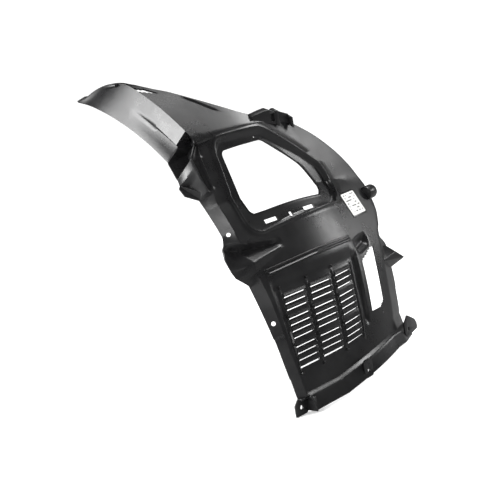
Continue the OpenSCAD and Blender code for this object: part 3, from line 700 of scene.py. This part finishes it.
def moulded_plastic(grain):
    """Black moulded polypropylene with a soft gloss."""
    material = bpy.data.materials.new("black_moulded_plastic")
    material.use_nodes = True
    nodes, links = material.node_tree.nodes, material.node_tree.links
    shader = nodes["Principled BSDF"]
    shader.inputs["Specular IOR Level"].default_value = 0.5
    group = grained(nodes, grain, SHELL_GRAIN, SHELL_SCUFF)
    colour = nodes.new("ShaderNodeValToRGB")
    colour.color_ramp.elements[0].position = 0.35
    colour.color_ramp.elements[0].color = (0.0075, 0.0075, 0.008, 1)
    colour.color_ramp.elements[1].position = 0.75
    colour.color_ramp.elements[1].color = (0.014, 0.014, 0.0145, 1)
    links.new(group.outputs["Scuff"], colour.inputs["Fac"])
    links.new(colour.outputs["Color"], shader.inputs["Base Color"])
    rough = nodes.new("ShaderNodeMapRange")
    rough.inputs["From Min"].default_value = 0.3
    rough.inputs["From Max"].default_value = 0.7
    rough.inputs["To Min"].default_value = 0.24
    rough.inputs["To Max"].default_value = 0.38
    links.new(group.outputs["Scuff"], rough.inputs["Value"])
    links.new(rough.outputs["Result"], shader.inputs["Roughness"])
    bump = nodes.new("ShaderNodeBump")
    bump.inputs["Strength"].default_value = 0.10
    bump.inputs["Distance"].default_value = 0.0003
    links.new(group.outputs["Height"], bump.inputs["Height"])
    links.new(bump.outputs["Normal"], shader.inputs["Normal"])
    return material


def paper(grain, sheet):
    """White label paper with rows of plain grey bars."""
    material = bpy.data.materials.new("label_paper")
    material.use_nodes = True
    nodes, links = material.node_tree.nodes, material.node_tree.links
    shader = nodes["Principled BSDF"]
    shader.inputs["Roughness"].default_value = 0.75
    group = grained(nodes, grain, PAPER_GRAIN, PAPER_SCUFF)
    colour = nodes.new("ShaderNodeValToRGB")
    colour.color_ramp.elements[0].color = (0.62, 0.62, 0.60, 1)
    colour.color_ramp.elements[1].color = (0.85, 0.85, 0.83, 1)
    links.new(group.outputs["Scuff"], colour.inputs["Fac"])
    coord = nodes.new("ShaderNodeTexCoord")
    from_middle = nodes.new("ShaderNodeVectorMath")
    from_middle.operation = "SUBTRACT"
    links.new(coord.outputs["Object"], from_middle.inputs[0])
    from_middle.inputs[1].default_value = tuple(sheet.translation)

    def number(operation, first, second):
        node = nodes.new("ShaderNodeMath")
        node.operation = operation
        for socket, value in zip(node.inputs, (first, second)):
            if hasattr(value, "is_output"):
                links.new(value, socket)
            else:
                socket.default_value = value
        return node.outputs[0]

    def distance_along(axis):
        node = nodes.new("ShaderNodeVectorMath")
        node.operation = "DOT_PRODUCT"
        links.new(from_middle.outputs["Vector"], node.inputs[0])
        node.inputs[1].default_value = tuple(sheet.col[axis].to_3d())
        return node.outputs["Value"]

    side, height = distance_along(1), distance_along(2)
    row = number("DIVIDE", height, ROW_PITCH)
    bar = number("LESS_THAN", number("FRACT", row, 0.0), BAR_SHARE)
    breaks = nodes.new("ShaderNodeTexNoise")
    breaks.inputs["Scale"].default_value = 1
    breaks.inputs["Detail"].default_value = 0
    spot = nodes.new("ShaderNodeCombineXYZ")
    links.new(number("MULTIPLY", side, BREAK_SCALE), spot.inputs["X"])
    links.new(number("MULTIPLY", number("FLOOR", row, 0.0), ROW_SHIFT), spot.inputs["Y"])
    links.new(spot.outputs["Vector"], breaks.inputs["Vector"])
    bar = number("MULTIPLY", bar, number("GREATER_THAN", breaks.outputs["Fac"], 0.5))
    margin = number("LESS_THAN", number("ABSOLUTE", side, 0.0), PRINT_HALF[0])
    margin = number("MULTIPLY", margin, number("LESS_THAN", number("ABSOLUTE", height, 0.0), PRINT_HALF[1]))
    tint = nodes.new("ShaderNodeMix")
    tint.data_type = "RGBA"
    rgba = [i for i in tint.inputs if i.type == "RGBA"]
    rgba[1].default_value = (0.16, 0.16, 0.16, 1)
    links.new(number("MULTIPLY", bar, margin), tint.inputs["Factor"])
    links.new(colour.outputs["Color"], rgba[0])
    links.new([o for o in tint.outputs if o.type == "RGBA"][0], shader.inputs["Base Color"])
    return material


grain = moulded_grain()
black = moulded_plastic(grain)


def dress(obj, material):
    """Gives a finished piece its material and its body."""
    obj.data.materials.clear()
    obj.data.materials.append(material)
    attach(obj, "root")
    return obj


# shell: its wall, its screw holes and the slots in the floor of the window frame
LIP_HOLES, LIP_CUT, TAB_CUT = (338.8, 480), 16, 20
SLOT_CUT, SLOT_TILT = 16, 14
FRAME_SLOTS = ((338, 101, 28, 6), (338.5, 148, 8, 7), (335.5, 199, 32, 6))
PANEL_HOLE, FRAME_HOLE = (533, 254), (217.2, 144.7)
FRAME_HOLE_TURN, FRAME_HOLE_TILT, MIDDLE_TURN = 3, 20, 4


def walled(obj):
    """Gives the shell's face its wall, on the wheel's side."""
    wall = obj.modifiers.new("wall", "SOLIDIFY")
    wall.thickness = WALL * MM
    wall.offset = -1
    wall.use_even_offset = True
    wall.thickness_clamp = 0
    return finished(obj)


def frame_at(p, turn=0.0, tilt=0.0):
    """Placement with x out of a face at p, turned inboard and tilted up by the angles in degrees."""
    return (Matrix.Translation(Vector(((p - ORIGIN) * MM).tolist()))
            @ Matrix.Rotation(-math.radians(tilt), 4, "Y") @ Matrix.Rotation(math.radians(turn), 4, "Z"))


def tilt_at(s):
    """Tilt in degrees that faces straight out of the arch."""
    return 90 - math.degrees(float(lean(np.array(float(s)))))


def cylinder_mesh(radius, length, matrix):
    """A cylinder along the placement's x axis."""
    bm = bmesh.new()
    bmesh.ops.create_cone(bm, cap_ends=True, segments=32, radius1=radius * MM, radius2=radius * MM,
                          depth=length * MM, matrix=matrix @ Matrix.Rotation(math.pi / 2, 4, "Y"))
    return from_bmesh("bore", bm)


def box_mesh(lo, hi, matrix):
    """A box between two corners of the placement."""
    bm = bmesh.new()
    size = [(b - a) * MM for a, b in zip(lo, hi)]
    centre = [(a + b) / 2 * MM for a, b in zip(lo, hi)]
    middle = matrix @ Matrix.Translation(centre)
    bmesh.ops.create_cube(bm, size=1, matrix=middle @ Matrix.Diagonal((*size, 1)))
    return from_bmesh("box", bm)


def cut(obj, tools):
    """Cuts the tools out of the object and removes them."""
    group = bpy.data.collections.new("cutters")
    bpy.context.scene.collection.children.link(group)
    for tool in tools:
        bpy.context.scene.collection.objects.unlink(tool)
        group.objects.link(tool)
    boolean = obj.modifiers.new("cut", "BOOLEAN")
    boolean.operand_type = "COLLECTION"
    boolean.collection = group
    boolean.solver = "EXACT"
    finished(obj)
    for tool in tools:
        bpy.data.objects.remove(tool)
    bpy.data.collections.remove(group)
    return obj


def lip_hole(s):
    """Placement of a screw hole in the middle of the side wall, square to it."""
    width = SIDE_LEAN * float(foot(np.array(float(s))))
    rise = float(level(np.array(float(s))))
    return frame_at(at(s, width / 2, rise / 2), -math.degrees(math.atan2(rise, width)), tilt_at(s))


def frame_slot(s, y, width, height):
    """Cutter for a slot in the floor of the window frame."""
    turn = math.degrees(math.atan(max(0, y - BEND_START) / BEND_RADIUS))
    reach_out = SLOT_CUT / 2
    return box_mesh((-reach_out, -width / 2, -height / 2), (reach_out, width / 2, height / 2),
                    frame_at(panel(s, y, -FRAME_DEPTH), turn, tilt_at(s) - SLOT_TILT))


def on_panel(s, y, h):
    """One point at height h over the lip, lowered by the shell's bend."""
    return at(s, y, h + bend(np.array(y)))


outer_frame = frame_at(at(*OUTER_HOLE))
middle_frame = frame_at(on_panel(*MIDDLE_HOLE), MIDDLE_TURN)
inner_frame = frame_at(on_panel(*INNER_HOLE), HEADING)
panel_hole = frame_at(panel(*PANEL_HOLE), HEADING, tilt_at(PANEL_HOLE[0]))
frame_hole = frame_at(panel(*FRAME_HOLE, -FRAME_DEPTH), FRAME_HOLE_TURN,
                      tilt_at(FRAME_HOLE[0]) - FRAME_HOLE_TILT)

shell = walled(mesh_object("shell", *shell_surface()))
cutters = [cylinder_mesh(SCREW_HOLE / 2, LIP_CUT, lip_hole(s)) for s in LIP_HOLES]
cutters += [cylinder_mesh(SCREW_HOLE / 2, TAB_CUT, f) for f in (outer_frame, middle_frame, inner_frame)]
cutters += [cylinder_mesh(SMALL_HOLE / 2, TAB_CUT, f) for f in (panel_hole, frame_hole)]
cutters += [frame_slot(*slot) for slot in FRAME_SLOTS]
cut(shell, cutters)
dress(shade(shell), black)
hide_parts("liner")


# pieces fused to the shell
EDGE_ANGLE = 35


def plate_mesh(name, outline, thickness, matrix):
    """A flat plate: its outline in (inboard, up) at the front face, and its thickness behind it."""
    bm = bmesh.new()
    verts = [bm.verts.new(matrix @ Vector((0, y * MM, z * MM))) for y, z in outline]
    face = bm.faces.new(verts)
    solid = bmesh.ops.extrude_face_region(bm, geom=[face])
    back = matrix.to_3x3() @ Vector((-thickness * MM, 0, 0))
    bmesh.ops.translate(bm, vec=back, verts=[g for g in solid["geom"] if isinstance(g, bmesh.types.BMVert)])
    bmesh.ops.recalc_face_normals(bm, faces=bm.faces)
    return from_bmesh(name, bm)


def rounded_edges(obj, width=0.6, segments=3):
    """Rounds the object's edges by the width in millimetres."""
    bevel = obj.modifiers.new("edges", "BEVEL")
    bevel.width = width * MM
    bevel.segments = segments
    bevel.limit_method = "ANGLE"
    bevel.angle_limit = math.radians(EDGE_ANGLE)
    bevel.harden_normals = False
    return finished(obj)


def tab_outline(w, up, down, r, top):
    """Outline with lower corners rounded by r and upper corners rounded by top."""
    arc = np.radians(np.arange(0, 91, 15))
    high = [(-w / 2 + top - top * math.cos(a), up - top + top * math.sin(a)) for a in arc]
    high += [(w / 2 - top + top * math.sin(a), up - top + top * math.cos(a)) for a in arc]
    right = [(w / 2 - r + r * math.cos(a), -down + r - r * math.sin(a)) for a in arc]
    left = [(-w / 2 + r + r * math.cos(a), -down + r - r * math.sin(a)) for a in arc + math.pi / 2]
    return high + right + left


def join(name, parts):
    """One object from several closed pieces."""
    bm = bmesh.new()
    for p in parts:
        bm.from_mesh(p.data)
        bpy.data.objects.remove(p)
    return from_bmesh(name, bm)


def screw_tab(name, outline, matrix):
    """A bottom tab with its screw hole and rounded edges."""
    tab = plate_mesh(name, outline, TAB_WALL, matrix)
    cut(tab, [cylinder_mesh(SCREW_HOLE / 2, TAB_CUT, matrix)])
    return rounded_edges(tab)


def corner_pocket():
    """The outboard tab with the top and the side of its pocket."""
    tab = screw_tab("corner_tab", CORNER_TAB, outer_frame)
    top = rounded_edges(box_mesh(*POCKET_TOP, outer_frame), POCKET_EDGE)
    side = rounded_edges(box_mesh(*POCKET_SIDE, outer_frame), POCKET_EDGE)
    return join("corner_tab_pocket", [tab, top, side])


# outlines as distance inboard and height from each tab's hole, and corners of the pocket's boxes
CORNER_TAB = [(-4, 13.5), (13.3, 13.5), (13.3, -8), (10.8, -11), (-12.5, -11), (-12.5, 5)]
POCKET_TOP = (-3, -4, 11), (6, 13.3, 13.5)
POCKET_SIDE = (-3, 10.8, -8), (18.2, 13.3, 13.5)
POCKET_EDGE = 0.5
MIDDLE_TAB = tab_outline(w=22, up=17, down=11, r=4, top=7)
INNER_TAB = [(-17, 12), (2.5, 22), (20, 14), (34, 7), (41, -1), (42, -8), (39, -11), (-14, -11), (-17, -8)]

dress(shade(corner_pocket()), black)
dress(shade(screw_tab("middle_tab", MIDDLE_TAB, middle_frame)), black)
dress(shade(screw_tab("inboard_tab", INNER_TAB, inner_frame)), black)


# stub tube on the inboard corner, with its profile as radius and height
STUB_PLACE, STUB_TURN = (331, 396), 12
STUB = [(0.05, 4), (10.8, 4), (11.7, 4.5), (12, 5.6), (12, 28.6), (11.5, 29.6), (10.6, 30), (9.8, 29.8),
        (9.5, 29.2), (9.5, 7), (0.05, 7)]
stub_frame = frame_at(panel(*STUB_PLACE), STUB_TURN) @ Matrix.Rotation(-math.pi / 2, 4, "X")


def turned(name, profile, matrix, segments=48):
    """Turned piece from (radius, height) points that close on themselves."""
    bm = bmesh.new()
    rings = []
    for k in range(segments):
        a = 2 * math.pi * k / segments
        rings.append([bm.verts.new(matrix @ Vector((r * MM * math.cos(a), r * MM * math.sin(a), h * MM)))
                      for r, h in profile])
    for k, a in enumerate(rings):
        b = rings[(k + 1) % segments]
        for m in range(len(profile)):
            after = (m + 1) % len(profile)
            bm.faces.new((a[m], b[m], b[after], a[after]))
    bmesh.ops.recalc_face_normals(bm, faces=bm.faces)
    return from_bmesh(name, bm)


dress(shade(turned("stub_tube", STUB, stub_frame)), black)


# folded pieces: the wing behind the side window and the ledge at the lip,
# with corners as lip length, distance inboard and height outside the lip
WING = [(458, 334, -35), (431, 346, -39), (432, 378, -50), (449.5, 384, -41), (465, 410, -49),
        (473, 372, -58)]
WING_BACK, WING_EDGE = (-WALL, -WALL, 0), 0.8
LEDGE = [(241.5, -13.4, 0.8), (245, -17.7, 0.4), (260, -17.6, 0.4), (277, 2.5, 3.5), (274.5, 6, 15.5),
         (249, 1.5, 4)]
LEDGE_BACK, LEDGE_EDGE = (-1.6, 0.6, -1.6), 0.5


def folded(name, corners, step, width):
    """A folded plate: a fan of triangles from the first corner, with a wall behind it."""
    front = [(at(*corner) - ORIGIN) * MM for corner in corners]
    n = len(front)
    back = [p + np.array(step) * MM for p in front]
    faces = [(0, k, k + 1) for k in range(1, n - 1)] + [(n, n + k + 1, n + k) for k in range(1, n - 1)]
    faces += [((k + 1) % n, k, k + n) for k in range(n)]
    faces += [((k + 1) % n, k + n, (k + 1) % n + n) for k in range(n)]
    return rounded_edges(closed_mesh(name, front + back, faces), width)


dress(shade(folded("wing", WING, WING_BACK, WING_EDGE)), black)
dress(shade(folded("ledge", LEDGE, LEDGE_BACK, LEDGE_EDGE)), black)


# tip tab: two rounded boxes at the upper end of the lip
TIP_PLACE, TIP_SINK, TIP_TILT = (43, 11), 3.8, 26
TIP_PLATE, TIP_PLATE_EDGE = ((-2, -4, -16), (1.8, 6, 15)), 1.1
TIP_PAD, TIP_PAD_EDGE = ((-1, -2, -7), (2.7, 4, 7)), 0.7

tip_level = float(level(np.array(float(TIP_PLACE[0]))))
tip_frame = frame_at(at(*TIP_PLACE, tip_level - TIP_SINK), 0, tilt_at(TIP_PLACE[0]) + TIP_TILT)
tip_tab = join("tip_tab", [rounded_edges(box_mesh(*TIP_PLATE, tip_frame), TIP_PLATE_EDGE),
                           rounded_edges(box_mesh(*TIP_PAD, tip_frame), TIP_PAD_EDGE)])
dress(shade(tip_tab), black)


# clip bracket above the edge where the roof meets the rear limb, stations as distance along, top and foot
BRACKET_START, BRACKET_END = (186, 158), (206, 243)
OUTER_LUG = [(-5, 0, -3.5), (6, 1.6, -3.6), (18, 3.6, -7), (32, 5, -10.5), (47, -1, -14.5)]
INNER_LUG = [(51, 2, -15.8), (65, -6, -19.6), (82, -12, -25.6), (88, -20, -28.4)]
MIDDLE_RIB = [(45, 1, -15), (51, 2, -15.8)]
END_RIB = [(79, -11, -24.6), (84, -13, -26.4)]
LUG_SLOT = (34, -20, -18), (43, -6, -6)
FOOT_DRAFT = 0.9

bracket_line = panel(*BRACKET_END) - panel(*BRACKET_START)
bracket_frame = frame_at(panel(*BRACKET_START), math.degrees(math.atan2(bracket_line[1], bracket_line[0])))


def lug(name, stations, depth, fall):
    """A lug lofted through its stations, its top falling toward the back."""
    points = []
    for x, top, base in stations:
        for y, z in ((0, top), (-depth, top - fall), (-depth, base - FOOT_DRAFT * depth), (0, base)):
            points.append(bracket_frame @ Vector((x * MM, y * MM, z * MM)))
    n = len(points)
    faces = [(0, 1, 2, 3), (n - 1, n - 2, n - 3, n - 4)]
    for k in range(len(stations) - 1):
        for m in range(4):
            a, b = 4 * k + m, 4 * k + (m + 1) % 4
            faces.append((a, a + 4, b + 4, b))
    return closed_mesh(name, points, faces)


outer_lug = lug("outer_lug", OUTER_LUG, depth=12, fall=4)
cut(outer_lug, [box_mesh(*LUG_SLOT, bracket_frame)])
bracket = join("clip_bracket", [rounded_edges(outer_lug, width=0.8),
                                rounded_edges(lug("inner_lug", INNER_LUG, depth=3.5, fall=0.5)),
                                rounded_edges(lug("middle_rib", MIDDLE_RIB, depth=13, fall=5)),
                                rounded_edges(lug("end_rib", END_RIB, depth=11, fall=6))])
dress(shade(bracket), black)


# pegs between the louvre columns
PEG_ROWS = (SLOT_START - 14, SLOT_TOPS[3] - 3, SLOT_TOPS[7] - 3, SLOT_TOPS[10] + 10)
PEG_RADIUS, PEG_HEIGHT, PEG_STATION = 2.1, 4.0, 480.0


def peg_tree(material):
    """Geometry nodes: one domed peg on every point, pointing along the direction."""
    tree = bpy.data.node_groups.new("louvre_pegs", "GeometryNodeTree")
    face = tree.interface
    face.new_socket("Geometry", in_out="INPUT", socket_type="NodeSocketGeometry")
    for name, value in (("Peg radius", PEG_RADIUS * MM), ("Peg height", PEG_HEIGHT * MM)):
        face.new_socket(name, in_out="INPUT", socket_type="NodeSocketFloat").default_value = value
    face.new_socket("Direction", in_out="INPUT", socket_type="NodeSocketVector")
    face.new_socket("Geometry", in_out="OUTPUT", socket_type="NodeSocketGeometry")
    nodes, links = tree.nodes, tree.links
    inside, outside = nodes.new("NodeGroupInput"), nodes.new("NodeGroupOutput")
    sphere = nodes.new("GeometryNodeMeshUVSphere")
    sphere.inputs["Segments"].default_value = 20
    sphere.inputs["Rings"].default_value = 12
    sphere.inputs["Radius"].default_value = 1
    size = nodes.new("ShaderNodeCombineXYZ")
    turn = nodes.new("FunctionNodeAlignRotationToVector")
    turn.axis = "Z"
    put = nodes.new("GeometryNodeInstanceOnPoints")
    real = nodes.new("GeometryNodeRealizeInstances")
    paint = nodes.new("GeometryNodeSetMaterial")
    paint.inputs["Material"].default_value = material
    links.new(inside.outputs["Geometry"], put.inputs["Points"])
    links.new(sphere.outputs["Mesh"], put.inputs["Instance"])
    links.new(inside.outputs["Peg radius"], size.inputs["X"])
    links.new(inside.outputs["Peg radius"], size.inputs["Y"])
    links.new(inside.outputs["Peg height"], size.inputs["Z"])
    links.new(size.outputs["Vector"], put.inputs["Scale"])
    links.new(inside.outputs["Direction"], turn.inputs["Vector"])
    links.new(turn.outputs["Rotation"], put.inputs["Rotation"])
    links.new(put.outputs["Instances"], real.inputs["Geometry"])
    links.new(real.outputs["Geometry"], paint.inputs["Geometry"])
    links.new(paint.outputs["Geometry"], outside.inputs["Geometry"])
    return tree


def louvre_pegs(material):
    """One peg on each of the first three bars in every row, made a plain mesh."""
    points = []
    for row in PEG_ROWS:
        for column in BARS[:3]:
            points.append(tuple((skin(np.array(float(row)), np.array(float(column))) - ORIGIN) * MM))
    mesh = bpy.data.meshes.new("pegs")
    mesh.from_pydata(points, [], [])
    pegs = linked("pegs", mesh)
    tree = peg_tree(material)
    grow = pegs.modifiers.new("pegs", "NODES")
    grow.node_group = tree
    sockets = {i.name: i.identifier for i in tree.interface.items_tree if i.in_out == "INPUT"}
    outward = float(lean(np.array(PEG_STATION)))
    grow[sockets["Peg radius"]] = PEG_RADIUS * MM
    grow[sockets["Peg height"]] = PEG_HEIGHT * MM
    grow[sockets["Direction"]] = (math.sin(outward), 0.0, math.cos(outward))
    return finished(pegs)


dress(shade(louvre_pegs(black)), black)


# label on its low pad
LABEL, LABEL_CORNER, LABEL_PLACE, LABEL_TURN = (57.0, 41.0), 3.0, (345, 336), 6
PAD_HEIGHT, PAD_SINK, PAD_MARGIN, PAD_CORNER, PAPER = 0.4, 2.0, 6.0, 4.0, 0.3


def sheet_outline(w, h, r):
    """A rectangle with corners rounded by r."""
    points = []
    for cx, cy, start in ((w / 2 - r, h / 2 - r, 0), (-w / 2 + r, h / 2 - r, 90),
                          (-w / 2 + r, -h / 2 + r, 180), (w / 2 - r, -h / 2 + r, 270)):
        for angle in range(start, start + 91, 15):
            points.append((cx + r * math.cos(math.radians(angle)), cy + r * math.sin(math.radians(angle))))
    return points


label_frame = (frame_at(panel(*LABEL_PLACE), HEADING, tilt_at(LABEL_PLACE[0]))
               @ Matrix.Rotation(math.radians(LABEL_TURN), 4, "X"))
label = plate_mesh("paper_label", sheet_outline(*LABEL, LABEL_CORNER), PAPER,
                   label_frame @ Matrix.Translation(((PAD_HEIGHT + PAPER) * MM, 0, 0)))
dress(label, paper(grain, label_frame))
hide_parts("label")

pad = plate_mesh("label_pad", sheet_outline(LABEL[0] + PAD_MARGIN, LABEL[1] + PAD_MARGIN, PAD_CORNER),
                 PAD_HEIGHT + PAD_SINK, label_frame @ Matrix.Translation((PAD_HEIGHT * MM, 0, 0)))
dress(shade(rounded_edges(pad, width=0.25, segments=2)), black)


# floor, light and camera: the floor and the sky are dim where the gloss mirrors them
FLOOR_SIZE, FLOOR_DROP = 80, 0.0005
FLOOR_COLOUR, FLOOR_GLOW, SKY_STRENGTH = (0.97, 0.2), (0.1, 0.0), (1.15, 0.05)


def seen_or_mirrored(tree, values, socket):
    """Sets a socket to the first value for most rays and to the second for glossy ones."""
    ray = tree.nodes.new("ShaderNodeLightPath")
    choice = tree.nodes.new("ShaderNodeMapRange")
    choice.inputs["To Min"].default_value, choice.inputs["To Max"].default_value = values
    tree.links.new(ray.outputs["Is Glossy Ray"], choice.inputs["Value"])
    tree.links.new(choice.outputs["Result"], socket)


def pale_floor():
    """Matt white floor that glows a little."""
    material = bpy.data.materials.new("pale_floor")
    material.use_nodes = True
    shader = material.node_tree.nodes["Principled BSDF"]
    shader.inputs["Roughness"].default_value = 0.9
    shader.inputs["Emission Color"].default_value = (1, 1, 1, 1)
    seen_or_mirrored(material.node_tree, FLOOR_COLOUR, shader.inputs["Base Color"])
    seen_or_mirrored(material.node_tree, FLOOR_GLOW, shader.inputs["Emission Strength"])
    return material


bpy.ops.mesh.primitive_plane_add(size=FLOOR_SIZE, location=(-0.5, 0.5, cad_box[0][2] - FLOOR_DROP))
floor = bpy.context.object
floor.name = "floor"
floor.data.materials.append(pale_floor())

world = bpy.data.worlds.new("studio")
bpy.context.scene.world = world
world.use_nodes = True
sky = world.node_tree.nodes["Background"]
sky.inputs["Color"].default_value = (1, 1, 1, 1)
seen_or_mirrored(world.node_tree, SKY_STRENGTH, sky.inputs["Strength"])

# lamps as name, place, aim, size and power, in metres and watts
LAMPS = (("side", (-1.1, -1.9, 0.75), (-0.25, 0, 0.42), (1.5, 0.8), 74),
         ("back", (-1.9, 0.0, 2.0), (-0.2, 0.1, 0.35), (1.2, 1.2), 14),
         ("front", (1.0, -1.2, 1.35), (-0.15, 0, 0.3), (0.5, 0.35), 8),
         ("inboard", (0.38, 2.25, 0.66), (-0.15, 0.35, 0.35), (0.45, 0.4), 4.2),
         ("foot", (-0.15, 0.82, 0.80), (0, 0.15, 0.03), (0.3, 0.3), 2.5),
         ("roof", (-0.55, 1.5, 1.95), (-0.2, 0.05, 0.45), (0.8, 0.5), 3))


def softbox(name, place_at, look_at, size, power):
    """A rectangular lamp that faces a point."""
    data = bpy.data.lights.new(name, "AREA")
    data.shape = "RECTANGLE"
    data.size, data.size_y = size
    data.energy = power
    lamp = linked(name, data)
    lamp.location = place_at
    lamp.rotation_euler = (Vector(look_at) - Vector(place_at)).to_track_quat("-Z", "Y").to_euler()


for lamp in LAMPS:
    softbox(*lamp)

# camera as fitted to the photograph: its place in metres, and its right and forward directions
CAMERA_PLACE, CAMERA_LENS, SENSOR, FAR_END = (1.0143, -1.0770, 0.4977), 79.2, 36, 50
CAMERA_RIGHT, CAMERA_FORWARD = (0.723, 0.670, -0.168), (-0.690, 0.702, -0.176)


def photo_camera():
    """The camera that sees the part as the photograph does."""
    data = bpy.data.cameras.new("camera")
    data.lens = CAMERA_LENS
    data.sensor_width = SENSOR
    data.clip_end = FAR_END
    right = Vector(CAMERA_RIGHT).normalized()
    up = right.cross(Vector(CAMERA_FORWARD).normalized()).normalized()
    forward = up.cross(right)
    camera = linked("camera", data)
    camera.matrix_world = (Matrix.Translation(CAMERA_PLACE)
                           @ Matrix((right, up, -forward)).transposed().to_4x4())
    return camera


bpy.context.scene.camera = photo_camera()
bpy.context.scene.view_settings.view_transform = "Standard"
